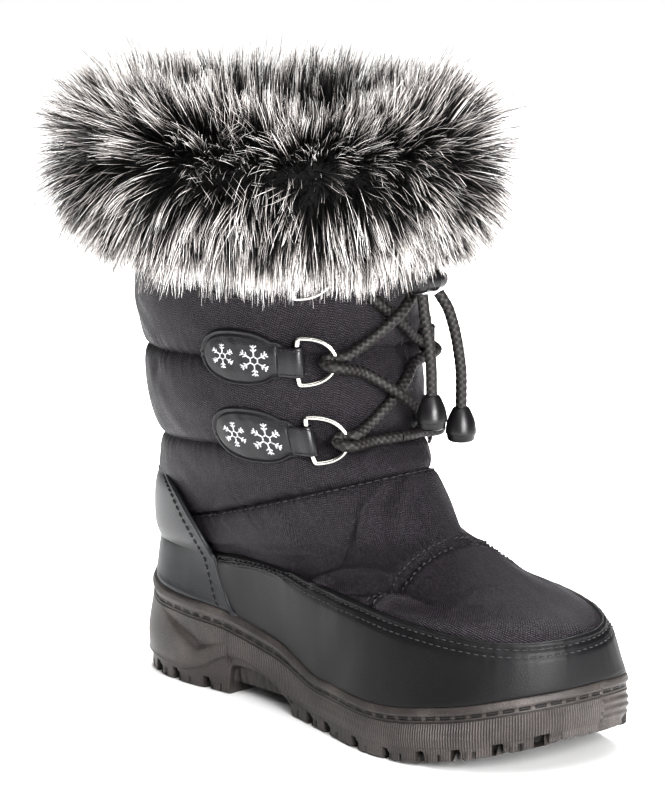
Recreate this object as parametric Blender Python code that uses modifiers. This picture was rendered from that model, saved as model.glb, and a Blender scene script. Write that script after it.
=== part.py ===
"""Snow boot for the right foot: a rubber cup sole, a quilted upper with a coated mudguard and
heel counter, a long-pile cuff, and a round cord laced through three pairs of rings.

Metres. +X runs from heel to toe, -Y is the outer side of the foot, +Z is up, and the origin
lies on the ground in the middle of the heel.
"""

import bmesh
import bpy
import numpy as np

# Foot and sole
SOLE_LENGTH = 0.275
BALL_WIDTH = 0.103
HEEL_CENTRE = 0.034
SOLE_HEIGHT = 0.040
TOE_SPRING = 0.0156
SPRING_START = 0.72
END_ROUNDNESS = 0.8
RIM_WIDTH = 0.0027
RIM_EDGE = 0.0016
SIDE_INSET = 0.0005
TREAD_EDGE = 0.0030
LUG_HEIGHT = 0.0085
GROOVE_DEPTH = 0.0045
GROOVE_WIDTH = 0.0038
ARCH_RISE = 0.0115
ARCH_FROM = 0.285
ARCH_TO = 0.435
RIB_STEP = 0.0009
HEEL_HOLLOW = 0.0020
HEEL_FLARE = 0.0018
STITCH_GROOVE_DROP = 0.0065
STITCH_GROOVE_WIDTH = 0.0022
STITCH_GROOVE_DEPTH = 0.0012

# Upper
COLLAR_HEIGHT = 0.250
QUILT_WALL = 0.0042
SEAM_DEPTH = 0.0024
SEAM_WIDTH = 0.0050
VAMP_SEAM_SHARE = 0.672
GUARD_THICKNESS = 0.0015
COUNTER_THICKNESS = 0.0019
PIPING_RISE = 0.0012
INSOLE_THICKNESS = 0.0045
INSOLE_CLEARANCE = 0.0015

# Cuff
PILE_LENGTH = 0.045
CUFF_DROP = 0.045
LOCK_COUNT = 16
LOCK_DEPTH = 0.22

# Rings, patches and cord
PATCH_LENGTH = 0.046
PATCH_HEIGHT = 0.026
PATCH_THICKNESS = 0.0018
RING_WIRE = 0.0024
RING_HEIGHT = 0.0215
RING_REACH = 0.0165
STRAP_WALL = 0.0012
STRAP_HEIGHT = 0.0138
CORD_DIAMETER = 0.0052
LOCK_LENGTH = 0.020
LOCK_WIDTH = 0.0105
LOCK_DROP = 0.0495
LOCK_TURN = 0.5201
LOCK_STAND = 0.01655
BELL_DIAMETER = 0.0140
BELL_LENGTH = 0.0155

GAP = 0.0003
OVERLAY_GAP = 0.0006
COUNTER_GAP = 0.0013

# Outline of the tread seen from above. Shares of the sole's length from the heel, and of the
# ball width: how far the middle lies towards the inner side, and the half width before its
# ends are rounded.
OUTLINE = np.array([
    # share, middle, half
    (0.00, 0.000, 0.500),
    (0.06, 0.000, 0.540),
    (0.18, -0.003, 0.478),
    (0.30, -0.020, 0.378),
    (0.42, -0.045, 0.338),
    (0.55, -0.060, 0.390),
    (0.70, -0.038, 0.525),
    (0.85, 0.010, 0.622),
    (1.00, 0.071, 0.670),
])

# Heights of the sole's inner floor and of its rim, as shares of the sole's height.
SOLE_HEIGHTS = np.array([
    # share, floor, rim
    (0.00, 0.75, 1.200),
    (0.10, 0.75, 1.058),
    (0.25, 0.70, 1.010),
    (0.40, 0.52, 0.850),
    (0.55, 0.375, 0.615),
    (0.70, 0.340, 0.608),
    (0.85, 0.420, 0.730),
    (1.00, 0.690, 0.973),
])

# Closed sections of the upper, from its seat in the sole to the collar. Places along the foot
# are shares of the sole's length, heights of the collar's height, and half widths of the ball
# width. Sole tells how far a section follows the sole's outline, bump how far its middle
# rises over its ends, and lift how late it climbs towards the front.
SECTIONS = np.array([
    # back_x, back_z, front_x, front_z, heel, fore, sole, bump, lift
    (0.020, 0.120, 0.980, 0.110, 0.340, 0.480, 1.00, 0.000, 1.00),
    (0.020, 0.190, 0.980, 0.155, 0.340, 0.480, 1.00, 0.000, 1.00),
    (0.002, 0.220, 0.966, 0.236, 0.380, 0.455, 0.45, 0.036, 1.00),
    (0.002, 0.228, 0.938, 0.262, 0.385, 0.415, 0.20, 0.028, 1.00),
    (0.002, 0.236, 0.892, 0.280, 0.390, 0.390, 0.05, 0.020, 1.00),
    (0.002, 0.244, 0.822, 0.306, 0.395, 0.385, 0.00, 0.012, 1.00),
    (0.003, 0.252, 0.752, 0.332, 0.400, 0.395, 0.00, 0.006, 1.10),
    (0.004, 0.260, 0.684, 0.358, 0.405, 0.405, 0.00, 0.000, 1.20),
    (0.005, 0.270, 0.638, 0.412, 0.415, 0.420, 0.00, 0.000, 1.30),
    (0.007, 0.284, 0.600, 0.468, 0.422, 0.440, 0.00, 0.000, 1.35),
    (0.015, 0.376, 0.570, 0.492, 0.440, 0.470, 0.00, 0.000, 1.20),
    (0.022, 0.448, 0.549, 0.516, 0.466, 0.495, 0.00, 0.000, 1.00),
    (0.009, 0.536, 0.540, 0.596, 0.515, 0.534, 0.00, 0.000, 1.00),
    (0.002, 0.624, 0.530, 0.672, 0.534, 0.544, 0.00, 0.000, 1.00),
    (-0.008, 0.720, 0.530, 0.760, 0.563, 0.563, 0.00, 0.000, 1.00),
    (-0.008, 0.848, 0.530, 0.864, 0.573, 0.573, 0.00, 0.000, 1.00),
    (-0.008, 1.000, 0.530, 1.000, 0.573, 0.573, 0.00, 0.000, 1.00),
])
LEVEL_SEAT = 0
LEVEL_RIM = 1
LEVEL_GUARD = 2
LEVEL_ANKLE_SEAM = 9
LEVEL_LOWER_SEAM = 11
LEVEL_UPPER_SEAM = 13
LEVEL_COLLAR = 16
RING_SEAMS = (LEVEL_ANKLE_SEAM, LEVEL_LOWER_SEAM, LEVEL_UPPER_SEAM)

# Front edge of the heel counter: share of a turn from the back of the heel at each level.
COUNTER_EDGE = np.array([
    # level, turn
    (1.0, 0.180),
    (2.0, 0.158),
    (9.0, 0.176),
    (9.5, 0.130),
    (10.0, 0.078),
    (10.15, 0.030),
])

# Rows of rings: height on the shaft as a share of the collar's height, and the share of a
# turn from the heel to the patch's middle.
RING_ROWS = (
    # name, height, turn
    ("top", 0.820, 0.328),
    ("middle", 0.662, 0.328),
    ("lower", 0.520, 0.328),
)

# Cuff's section: share of the pile's length outwards from the collar's outer face, and
# upwards from its top edge. The pile hangs down outside the rings and stands up above, and
# parts in a furrow along the collar's edge.
CUFF_SECTION = np.array([
    # out, up
    (0.22, -0.64),
    (0.27, -1.08),
    (0.44, -1.24),
    (0.70, -1.14),
    (0.93, -0.84),
    (1.02, -0.46),
    (0.70, -0.03),
    (0.92, 0.36),
    (0.62, 0.66),
    (0.27, 0.74),
    (0.00, 0.62),
    (-0.16, 0.32),
])

AROUND = 44


def smooth(at, values, where):
    """Monotone cubic through (at, values): no overshoot between the rows of a table."""
    at = np.asarray(at, float)
    values = np.asarray(values, float)
    where = np.clip(where, at[0], at[-1])
    step = np.diff(at)
    slope = np.diff(values) / step
    tangent = np.zeros_like(values)
    tangent[0] = slope[0]
    tangent[-1] = slope[-1]
    same = slope[:-1] * slope[1:] > 0
    mean = 2 * slope[:-1] * slope[1:] / np.where(same, slope[:-1] + slope[1:], 1.0)
    tangent[1:-1] = np.where(same, mean, 0.0)
    row = np.clip(np.searchsorted(at, where, side="right") - 1, 0, len(step) - 1)
    t = (where - at[row]) / step[row]
    start = (1 + 2 * t) * (1 - t) ** 2 * values[row] + t * (1 - t) ** 2 * step[row] * tangent[row]
    end = t * t * (3 - 2 * t) * values[row + 1] - t * t * (1 - t) * step[row] * tangent[row + 1]
    return start + end


def ease(low, high, value):
    """0 below low, 1 above high, and a soft S between."""
    t = np.clip((value - low) / (high - low), 0.0, 1.0)
    return t * t * (3 - 2 * t)


def along_share(turn):
    """Share of the length from back to front for a share of a turn from the back."""
    return (1 - np.cos(2 * np.pi * turn)) / 2


def edge_point(turn):
    """Edge of the sole from above: back, outer side, toe, inner side as turn goes 0 to 1."""
    across = np.sin(2 * np.pi * turn)
    share = along_share(turn)
    middle = smooth(OUTLINE[:, 0], OUTLINE[:, 1], share)
    half = smooth(OUTLINE[:, 0], OUTLINE[:, 2], share)
    x = SOLE_LENGTH * share - HEEL_CENTRE
    y = BALL_WIDTH * (middle - np.sign(across) * half * np.abs(across) ** END_ROUNDNESS)
    return np.stack([x, y], -1)


def outline(turn, inset):
    """The sole's edge moved inwards along its own normal."""
    nudge = 0.004
    way = edge_point(turn + nudge) - edge_point(turn - nudge)
    way /= np.linalg.norm(way, axis=-1, keepdims=True)
    outward = np.stack([way[..., 1], -way[..., 0]], -1)
    return edge_point(turn) - np.asarray(inset)[..., None] * outward


def tread_height(share):
    """Underside of the sole: flat, then rising at the toe."""
    t = np.clip((share - SPRING_START) / (1 - SPRING_START), 0.0, 1.0)
    return TOE_SPRING * t ** 1.8


def floor_height(share):
    return SOLE_HEIGHT * smooth(SOLE_HEIGHTS[:, 0], SOLE_HEIGHTS[:, 1], share)


def rim_height(share):
    return SOLE_HEIGHT * smooth(SOLE_HEIGHTS[:, 0], SOLE_HEIGHTS[:, 2], share)


CUP_INSET = RIM_EDGE + RIM_WIDTH
UPPER_INSET = CUP_INSET + GAP


def bare_upper(level, turn):
    """Outer face of the upper before its seams: a closed section for each level."""
    column = [smooth(np.arange(len(SECTIONS)), values, level) for values in SECTIONS.T]
    back_x, back_z, front_x, front_z, heel, fore, sole, bump, lift = column
    share = along_share(turn)
    across = np.sin(2 * np.pi * turn)
    roundness = 1 - (1 - END_ROUNDNESS) * sole
    half = BALL_WIDTH * (heel + (fore - heel) * ease(0.15, 0.75, share))
    own_x = SOLE_LENGTH * (back_x + (front_x - back_x) * share) - HEEL_CENTRE
    own_y = -np.sign(across) * half * np.abs(across) ** roundness
    on_sole = outline(turn, np.full_like(share, UPPER_INSET))
    x = sole * on_sole[..., 0] + (1 - sole) * own_x
    y = sole * on_sole[..., 1] + (1 - sole) * own_y
    own_z = COLLAR_HEIGHT * (back_z + (front_z - back_z) * share ** lift + bump * across ** 2)
    in_cup = np.clip(level, 0.0, 1.0)
    seat = floor_height(share) + GAP
    sole_z = seat + (rim_height(share) - seat) * in_cup
    follow = 1 - ease(LEVEL_RIM, LEVEL_GUARD, level)
    return np.stack([x, y, follow * sole_z + (1 - follow) * own_z], -1)


def upper(level, turn, out=0.0, quilted=False):
    """The upper's outer face moved outwards by out, with its sewn seams if quilted."""
    level, turn = np.broadcast_arrays(np.asarray(level, float), np.asarray(turn, float))
    nudge_turn = 0.004
    nudge_level = 0.05
    here = bare_upper(level, turn)
    around = bare_upper(level, turn + nudge_turn) - bare_upper(level, turn - nudge_turn)
    above = np.minimum(level + nudge_level, LEVEL_COLLAR)
    below = np.maximum(level - nudge_level, LEVEL_SEAT)
    rise = bare_upper(above, turn) - bare_upper(below, turn)
    normal = np.cross(around, rise)
    normal /= np.linalg.norm(normal, axis=-1, keepdims=True)
    dent = 0.0
    if quilted:
        pace = np.linalg.norm(rise, axis=-1) / (above - below)
        for seam in RING_SEAMS:
            dent = np.maximum(dent, np.exp(-(((level - seam) * pace / SEAM_WIDTH) ** 2)))
        vamp_x = SOLE_LENGTH * VAMP_SEAM_SHARE - HEEL_CENTRE
        across_vamp = np.exp(-(((here[..., 0] - vamp_x) / SEAM_WIDTH) ** 2))
        dent = np.maximum(dent, across_vamp * (level < LEVEL_ANKLE_SEAM))
        dent = dent * SEAM_DEPTH * ease(LEVEL_RIM, LEVEL_GUARD, level)
    return here + (out - dent)[..., None] * normal if quilted else here + out * normal


def level_at(turn, height):
    """Level of the upper at this turn and height."""
    levels = np.linspace(LEVEL_GUARD, LEVEL_COLLAR, 281)
    heights = bare_upper(levels, np.full_like(levels, turn))[:, 2]
    return np.interp(height, heights, levels)


# Collections and materials
def new_collection(name):
    found = bpy.data.collections.new(name)
    bpy.context.scene.collection.children.link(found)
    return found


for old in list(bpy.data.objects):
    bpy.data.objects.remove(old, do_unlink=True)
PARTS = new_collection("snow_boot")
CUTTERS = new_collection("cutters")
CUTTERS.hide_render = True


def material(name, colour, roughness, metallic=0.0):
    made = bpy.data.materials.new(name)
    made.use_nodes = True
    shader = made.node_tree.nodes["Principled BSDF"]
    shader.inputs["Base Color"].default_value = (*colour, 1.0)
    shader.inputs["Roughness"].default_value = roughness
    shader.inputs["Metallic"].default_value = metallic
    return made


RUBBER = material("sole_rubber", (0.062, 0.056, 0.052), 0.75)
NYLON = material("quilted_nylon", (0.022, 0.020, 0.022), 0.45)
COATED = material("coated_fabric", (0.033, 0.033, 0.038), 0.40)
FUR = material("long_pile", (0.20, 0.19, 0.19), 0.90)
FOAM = material("insole_felt", (0.10, 0.10, 0.10), 0.95)
NICKEL = material("nickel_wire", (0.72, 0.71, 0.69), 0.20, 1.0)
CORD = material("braided_cord", (0.015, 0.015, 0.016), 0.80)
PLASTIC = material("moulded_plastic", (0.025, 0.024, 0.026), 0.35)


def add_mesh(name, points, faces, finish, collection=PARTS, angle=40):
    mesh = bpy.data.meshes.new(name)
    mesh.from_pydata([tuple(map(float, p)) for p in points], [], faces)
    work = bmesh.new()
    work.from_mesh(mesh)
    bmesh.ops.recalc_face_normals(work, faces=work.faces)
    work.to_mesh(mesh)
    work.free()
    mesh.shade_smooth()
    mesh.set_sharp_from_angle(angle=np.radians(angle))
    made = bpy.data.objects.new(name, mesh)
    collection.objects.link(made)
    if finish:
        mesh.materials.append(finish)
    if collection is CUTTERS:
        made.hide_render = True
        made.display_type = "WIRE"
    return made


def band(first, second, count, closed):
    """Quads between two rows of points that start at the indices first and second."""
    last = count if closed else count - 1
    return [
        (first + i, first + (i + 1) % count, second + (i + 1) % count, second + i)
        for i in range(last)
    ]


def add_tube_wall(name, rows, finish, angle=40):
    """Closed wall from rows of closed rings: the last row joins the first one."""
    count = len(rows[0])
    faces = []
    for k in range(len(rows)):
        faces += band(k * count, (k + 1) % len(rows) * count, count, True)
    return add_mesh(name, np.concatenate(rows), faces, finish, angle=angle)


def ladder(start, count, up):
    """Faces that close a ring whose points i and count - i face each other."""
    half = count // 2
    faces = [(start, start + 1, start + count - 1)]
    for i in range(1, half - 1):
        faces.append((start + i, start + i + 1, start + count - i - 1, start + count - i))
    faces.append((start + half - 1, start + half, start + half + 1))
    return faces if up else [face[::-1] for face in faces]


def add_plug(name, rows, finish, collection=PARTS, angle=40):
    """Solid from rows of rings, closed at both ends from side to side."""
    count = len(rows[0])
    faces = ladder(0, count, False)
    for k in range(len(rows) - 1):
        faces += band(k * count, (k + 1) * count, count, True)
    faces += ladder((len(rows) - 1) * count, count, True)
    return add_mesh(name, np.concatenate(rows), faces, finish, collection, angle)


def add_patch(name, outer, inner, finish, collection=PARTS):
    """Sheet with thickness: a grid of outer points, one of inner points, and its four edges."""
    rows, columns = outer.shape[:2]
    size = rows * columns
    faces = []
    for r in range(rows - 1):
        for c in range(columns - 1):
            a = r * columns + c
            faces.append((a, a + 1, a + columns + 1, a + columns))
            b = size + a
            faces.append((b, b + columns, b + columns + 1, b + 1))
    edge = (
        list(range(columns))
        + [r * columns + columns - 1 for r in range(1, rows)]
        + [size - 1 - c for c in range(1, columns)]
        + [r * columns for r in range(rows - 2, 0, -1)]
    )
    for i, a in enumerate(edge):
        b = edge[(i + 1) % len(edge)]
        faces.append((b, a, size + a, size + b))
    points = np.concatenate([outer.reshape(-1, 3), inner.reshape(-1, 3)])
    return add_mesh(name, points, faces, finish, collection)


def cut(target, cutter, operation="DIFFERENCE"):
    change = target.modifiers.new(cutter.name, "BOOLEAN")
    change.operation = operation
    change.solver = "EXACT"
    change.object = cutter


TURNS = np.arange(AROUND) / AROUND


# Outsole
def sole_row(height, inset):
    place = outline(TURNS, inset + np.zeros_like(TURNS))
    return np.column_stack([place, height + np.zeros_like(TURNS)])


def add_outsole():
    share = along_share(TURNS)
    tread = tread_height(share)
    rim = rim_height(share)
    lug_top = tread + LUG_HEIGHT
    groove = rim - STITCH_GROOVE_DROP
    ribbed = ease(0.46, 0.60, share)
    hollow = HEEL_HOLLOW * np.exp(-(((share - 0.20) / 0.05) ** 2))
    flare = HEEL_FLARE * (1 - ease(0.10, 0.30, share))
    rows = [
        sole_row(tread, TREAD_EDGE),
        sole_row(tread + 0.7 * TREAD_EDGE, SIDE_INSET - flare),
        sole_row(lug_top, SIDE_INSET - flare),
        sole_row(lug_top + RIB_STEP, SIDE_INSET + RIB_STEP - flare),
    ]
    ribs = 3
    bottom = lug_top + RIB_STEP
    side = groove - STITCH_GROOVE_WIDTH / 2 - bottom
    for k in range(ribs):
        low = bottom + side * (k + 0.30) / ribs
        high = bottom + side * (k + 0.85) / ribs
        worn = SIDE_INSET + (k == 1) * hollow - flare * (1 - k / ribs)
        rows.append(sole_row(low, worn))
        rows.append(sole_row(high, worn + RIB_STEP * ribbed * (k < ribs - 1)))
    rows += [
        sole_row(groove - STITCH_GROOVE_WIDTH / 2, SIDE_INSET),
        sole_row(groove, SIDE_INSET + STITCH_GROOVE_DEPTH),
        sole_row(groove + STITCH_GROOVE_WIDTH / 2, SIDE_INSET),
        sole_row(rim - RIM_EDGE / 2, SIDE_INSET),
        sole_row(rim, RIM_EDGE),
        sole_row(rim, CUP_INSET),
        sole_row(floor_height(share), CUP_INSET),
    ]
    sole = add_plug("outsole", rows, RUBBER, angle=30)
    for cutter in tread_cutters():
        cut(sole, cutter)


def add_prism(name, flat, low, high, finish=None, collection=CUTTERS):
    """Upright prism over a flat outline."""
    count = len(flat)
    rows = [np.column_stack([flat, np.full(count, z)]) for z in (low, high)]
    faces = [tuple(range(count))[::-1], tuple(range(count, 2 * count))]
    faces += band(0, count, count, True)
    return add_mesh(name, np.concatenate(rows), faces, finish, collection)


def add_sideways_prism(name, profile, half_width):
    """Prism across the sole over a profile of x and z."""
    count = len(profile)
    rows = [
        np.column_stack([profile[:, 0], np.full(count, y), profile[:, 1]])
        for y in (-half_width, half_width)
    ]
    faces = [tuple(range(count))[::-1], tuple(range(count, 2 * count))]
    faces += band(0, count, count, True)
    return add_mesh(name, np.concatenate(rows), faces, None, CUTTERS)


FORE_GROOVES = (0.485, 0.545, 0.605, 0.665, 0.725, 0.785, 0.845, 0.900, 0.950)
HEEL_GROOVES = (0.050, 0.095, 0.155, 0.215)
CHEVRON = 0.006


def add_groove(name, share, reach):
    """Bent groove across the tread, deeper than the toe's rise there."""
    x = SOLE_LENGTH * share - HEEL_CENTRE
    half = GROOVE_WIDTH / 2
    floor = float(tread_height(np.array(share)))
    middle_y = BALL_WIDTH * float(smooth(OUTLINE[:, 0], OUTLINE[:, 1], np.array(share)))
    flat = np.array([
        (x - half - CHEVRON, middle_y - reach),
        (x + half - CHEVRON, middle_y - reach),
        (x + half, middle_y),
        (x + half - CHEVRON, middle_y + reach),
        (x - half - CHEVRON, middle_y + reach),
        (x - half, middle_y),
    ])
    return add_prism(name, flat, -0.01, floor + GROOVE_DEPTH)


def tread_cutters():
    found = []
    for i, share in enumerate(FORE_GROOVES):
        found.append(add_groove(f"fore_groove_{i}", share, BALL_WIDTH))
    for i, share in enumerate(HEEL_GROOVES):
        found.append(add_groove(f"heel_groove_{i}", share, BALL_WIDTH))
    found.append(add_arch_cutter())
    return found


def add_arch_cutter():
    """Hollow under the arch, with four small ribs across its roof."""
    start = SOLE_LENGTH * ARCH_FROM - HEEL_CENTRE
    end = SOLE_LENGTH * ARCH_TO - HEEL_CENTRE
    lean = 0.004
    ribs = 4
    roof = np.linspace(start + lean, end - lean, 2 * ribs + 1)
    heights = ARCH_RISE * np.linspace(1.0, 0.62, 2 * ribs + 1) - RIB_STEP * (np.arange(2 * ribs + 1) % 2)
    below = -0.01
    profile = np.concatenate([
        [(start, below), (end, below), (end, 0.001)],
        np.column_stack([roof, heights])[::-1],
        [(start, 0.001)],
    ])
    return add_sideways_prism("arch_hollow", profile, BALL_WIDTH)


# Insole
def add_insole():
    share = along_share(TURNS)
    inset = UPPER_INSET + QUILT_WALL + INSOLE_CLEARANCE
    low = sole_row(floor_height(share) + GAP, inset)
    high = sole_row(floor_height(share) + GAP + INSOLE_THICKNESS, inset)
    add_plug("insole", [low, high], FOAM)


# Upper
OUTER_LEVELS = (
    0, 1, 1.5, 2, 2.5, 3, 3.5, 4, 4.5, 5, 6, 7, 8, 8.6, 9, 9.25, 9.6, 10, 10.5, 11, 11.25,
    12, 12.7, 13, 13.25, 14, 16,
)
INNER_LEVELS = (16, 13, 11, 10, 9, 7, 5, 3, 2, 0)


def add_upper():
    rows = [upper(level, TURNS, quilted=True) for level in OUTER_LEVELS]
    rows += [upper(level, TURNS, -QUILT_WALL) for level in INNER_LEVELS]
    add_tube_wall("upper", rows, NYLON)


# Mudguard and heel counter
GUARD_LEVELS = (1.0, 1.5, 2.0)
COUNTER_LEVELS = (1.0, 1.5, 2.0, 4.5, 9.0, 9.6, 10.0, 10.15)
COUNTER_HALF = np.array([0.12, 0.25, 0.38, 0.51, 0.64, 0.77, 0.89, 0.95, 1.00])
COUNTER_COLUMNS = np.concatenate([-COUNTER_HALF[::-1], [0.0], COUNTER_HALF])
GUARD_END_TURN = 0.0008


def overlay(levels, turns, out):
    """Grid on the upper's face moved outwards by out, its lowest row just over the rim."""
    grid = upper(levels, turns, out)
    grid[0, :, 2] = rim_height(along_share(turns[0])) + OVERLAY_GAP
    return grid


def counter_edge(levels):
    """Turn at which the counter's front edge crosses each level."""
    return smooth(COUNTER_EDGE[:, 0], COUNTER_EDGE[:, 1], levels)


def add_mudguard():
    levels = np.array(GUARD_LEVELS)[:, None]
    end = counter_edge(levels) + GUARD_END_TURN
    clear = float(end.max()) + 0.5 / AROUND
    between = TURNS[(TURNS > clear) & (TURNS < 1 - clear)]
    turns = np.hstack([end, np.tile(between, (len(levels), 1)), 1 - end])
    outer = overlay(levels, turns, OVERLAY_GAP + GUARD_THICKNESS)
    add_patch("mudguard", outer, overlay(levels, turns, OVERLAY_GAP), COATED)


def add_heel_counter():
    levels = np.array(COUNTER_LEVELS)[:, None]
    turns = counter_edge(levels) * COUNTER_COLUMNS[None, :]
    piping = PIPING_RISE * (np.abs(COUNTER_COLUMNS[None, :]) > 0.9) + 0 * turns
    outer = overlay(levels, turns, (COUNTER_GAP + COUNTER_THICKNESS + piping)[..., None])
    add_patch("heel_counter", outer, overlay(levels, turns, COUNTER_GAP), COATED)


# Cuff
CUFF_AROUND = 64


def add_fur_cuff():
    turn = np.arange(CUFF_AROUND) / CUFF_AROUND
    edge = bare_upper(np.full_like(turn, LEVEL_COLLAR), turn)
    way = np.roll(edge, -1, axis=0) - np.roll(edge, 1, axis=0)
    outward = np.column_stack([way[:, 1], -way[:, 0], 0 * turn])
    outward /= np.linalg.norm(outward, axis=1, keepdims=True)
    lift = np.array([0.0, 0.0, 1.0])
    notch = 1 - ease(0.045, 0.085, np.abs(turn - 0.5))

    def row(out, up):
        return edge + out * outward + np.asarray(up)[..., None] * lift

    rows = [row(GAP, np.full(CUFF_AROUND, GAP)), row(GAP, np.full(CUFF_AROUND, -0.60 * CUFF_DROP))]
    rng = np.random.default_rng(4)
    of_lock = (np.arange(CUFF_AROUND) * LOCK_COUNT) // CUFF_AROUND
    length = 1 + 0.10 * rng.uniform(-1, 1, LOCK_COUNT)[of_lock]
    for k, (out, up) in enumerate(CUFF_SECTION):
        phase = turn * LOCK_COUNT + 0.5 * (k % 2)
        valley = np.abs(2 * (phase % 1) - 1)
        shaggy = np.clip((out - 0.3) / 0.3, 0, 1) if up < 0 else np.clip((up + 0.2) / 0.5, 0, 1)
        reach = 1 + shaggy * (length - 1 - LOCK_DEPTH * valley)
        hang = np.full(CUFF_AROUND, PILE_LENGTH * up)
        if up < -0.7:
            hang = hang * (1 - 0.30 * notch)
        rows.append(row((PILE_LENGTH * out * reach)[:, None], hang * np.sqrt(reach)))
    rows.append(row(-QUILT_WALL - 0.0015, np.full(CUFF_AROUND, GAP)))
    add_tube_wall("fur_cuff", rows[::-1], FUR)


# Ring patches and rings
LOOP_BORE = RING_WIRE / 2 + 1.5 * GAP
LOOP_RADIUS = LOOP_BORE + STRAP_WALL
LOOP_LEAD = 0.0023


def place_on_shaft(height, turn):
    """Point, forward, up and outward directions of the shaft's face, forward being towards
    the shin on either side."""
    level = level_at(turn, height)
    here = upper(level, turn)
    toward = 0.002 if turn < 0.5 else -0.002
    forward = upper(level, turn + toward) - here
    pace = np.linalg.norm(forward) / abs(toward)
    forward /= np.linalg.norm(forward)
    above = upper(level_at(turn, height + 0.002), turn) - here
    outward = np.cross(forward, above) if turn < 0.5 else np.cross(above, forward)
    outward /= np.linalg.norm(outward)
    return here, forward, above / np.linalg.norm(above), outward, pace


def patch_grid(height, turn, out):
    """Grid over a patch whose rear end is round and whose front end is as high as its strap."""
    pace = place_on_shaft(height, turn)[4]
    along = np.array([-0.985, -0.88, -0.62, -0.25, 0.12, 0.45, 0.75, 1.0])
    side = 1 if turn < 0.5 else -1
    rows = []
    for share in along:
        oval = np.sqrt(max(1 - share * share, 0.0)) * PATCH_HEIGHT / 2
        half = max(oval, STRAP_HEIGHT / 2) if share > 0 else oval
        there = turn + side * share * PATCH_LENGTH / 2 / pace
        row = []
        for step, rim in ((-1, 0), (-0.85, 1), (0, 0), (0.85, 1), (1, 0)):
            level = level_at(there, height + step * half)
            row.append(upper(level, there, out + rim * PIPING_RISE / 2 * (out > OVERLAY_GAP)))
        rows.append(row)
    return np.array(rows)


def add_ring_patch(name, height, turn):
    outer = patch_grid(height, turn, OVERLAY_GAP + PATCH_THICKNESS)
    inner = patch_grid(height, turn, OVERLAY_GAP)
    patch = add_patch(name, outer, inner, COATED)
    middle, forward, up, outward = loop_axis(height, turn)
    angles = 2 * np.pi * np.arange(10) / 10
    rows = []
    for radius, end in ((LOOP_RADIUS, -1), (LOOP_RADIUS, 1), (LOOP_BORE, 1), (LOOP_BORE, -1)):
        circle = np.cos(angles)[:, None] * forward + np.sin(angles)[:, None] * outward
        rows.append(middle + radius * circle + end * STRAP_HEIGHT / 2 * up)
    loop = add_tube_wall(name + "_loop", rows, None)
    PARTS.objects.unlink(loop)
    CUTTERS.objects.link(loop)
    loop.hide_render = True
    loop.display_type = "WIRE"
    cut(patch, loop, "UNION")


def loop_axis(height, turn):
    """Middle and directions of the strap loop at the patch's front end."""
    pace = place_on_shaft(height, turn)[4]
    side = 1 if turn < 0.5 else -1
    front = turn + side * (PATCH_LENGTH / 2 + LOOP_LEAD) / pace
    here, forward, up, outward, _ = place_on_shaft(height, front)
    return here + (2 * OVERLAY_GAP + LOOP_RADIUS) * outward, forward, up, outward


def add_tube(name, points, diameter, finish, cyclic=False, resolution=2, collection=PARTS):
    """Round tube along a line of points, with closed ends."""
    curve = bpy.data.curves.new(name, "CURVE")
    curve.dimensions = "3D"
    curve.bevel_depth = diameter / 2
    curve.bevel_resolution = resolution
    curve.use_fill_caps = not cyclic
    line = curve.splines.new("POLY")
    line.points.add(len(points) - 1)
    line.points.foreach_set("co", np.column_stack([points, np.ones(len(points))]).ravel())
    line.use_cyclic_u = cyclic
    line.use_smooth = True
    made = bpy.data.objects.new(name, curve)
    collection.objects.link(made)
    if finish:
        curve.materials.append(finish)
    return made


def as_mesh(source):
    """The curve's tube as a welded mesh object with the same name."""
    name = source.name
    bpy.context.view_layer.update()
    graph = bpy.context.evaluated_depsgraph_get()
    mesh = bpy.data.meshes.new_from_object(source.evaluated_get(graph))
    home = source.users_collection[0]
    place = source.matrix_world.copy()
    bpy.data.objects.remove(source, do_unlink=True)
    work = bmesh.new()
    work.from_mesh(mesh)
    bmesh.ops.remove_doubles(work, verts=work.verts, dist=1e-5)
    bmesh.ops.recalc_face_normals(work, faces=work.faces)
    work.to_mesh(mesh)
    work.free()
    made = bpy.data.objects.new(name, mesh)
    made.matrix_world = place
    home.objects.link(made)
    return made


def add_ring(name, height, turn):
    """Bent-wire ring: a nearly straight bar in the strap loop and a round bow in front."""
    middle, forward, up, _ = loop_axis(height, turn)
    angles = 2 * np.pi * np.arange(16) / 16
    bow = 0.0006
    depth = np.where(np.cos(angles) > 0, RING_REACH, 2 * bow) * np.cos(angles)
    points = (
        middle
        + (bow * 1.72 + depth)[:, None] * forward
        + (RING_HEIGHT / 2 * np.sin(angles))[:, None] * up
    )
    add_tube(name, points, RING_WIRE, NICKEL, cyclic=True, resolution=1)


def add_rings_and_patches():
    for row, height_share, turn in RING_ROWS:
        for side, there in (("outer", turn), ("inner", 1 - turn)):
            height = COLLAR_HEIGHT * height_share
            add_ring_patch(f"ring_patch_{row}_{side}", height, there)
            add_ring(f"d_ring_{row}_{side}", height, there)


# Cord, its lock and its ends
CORD_OFF = CORD_DIAMETER / 2 + 0.0012


def lock_centre():
    """Middle of the lock: in front of the shaft's face, just under the cuff."""
    level = level_at(LOCK_TURN, COLLAR_HEIGHT - LOCK_DROP)
    return upper(level, LOCK_TURN, LOCK_STAND)


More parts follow.
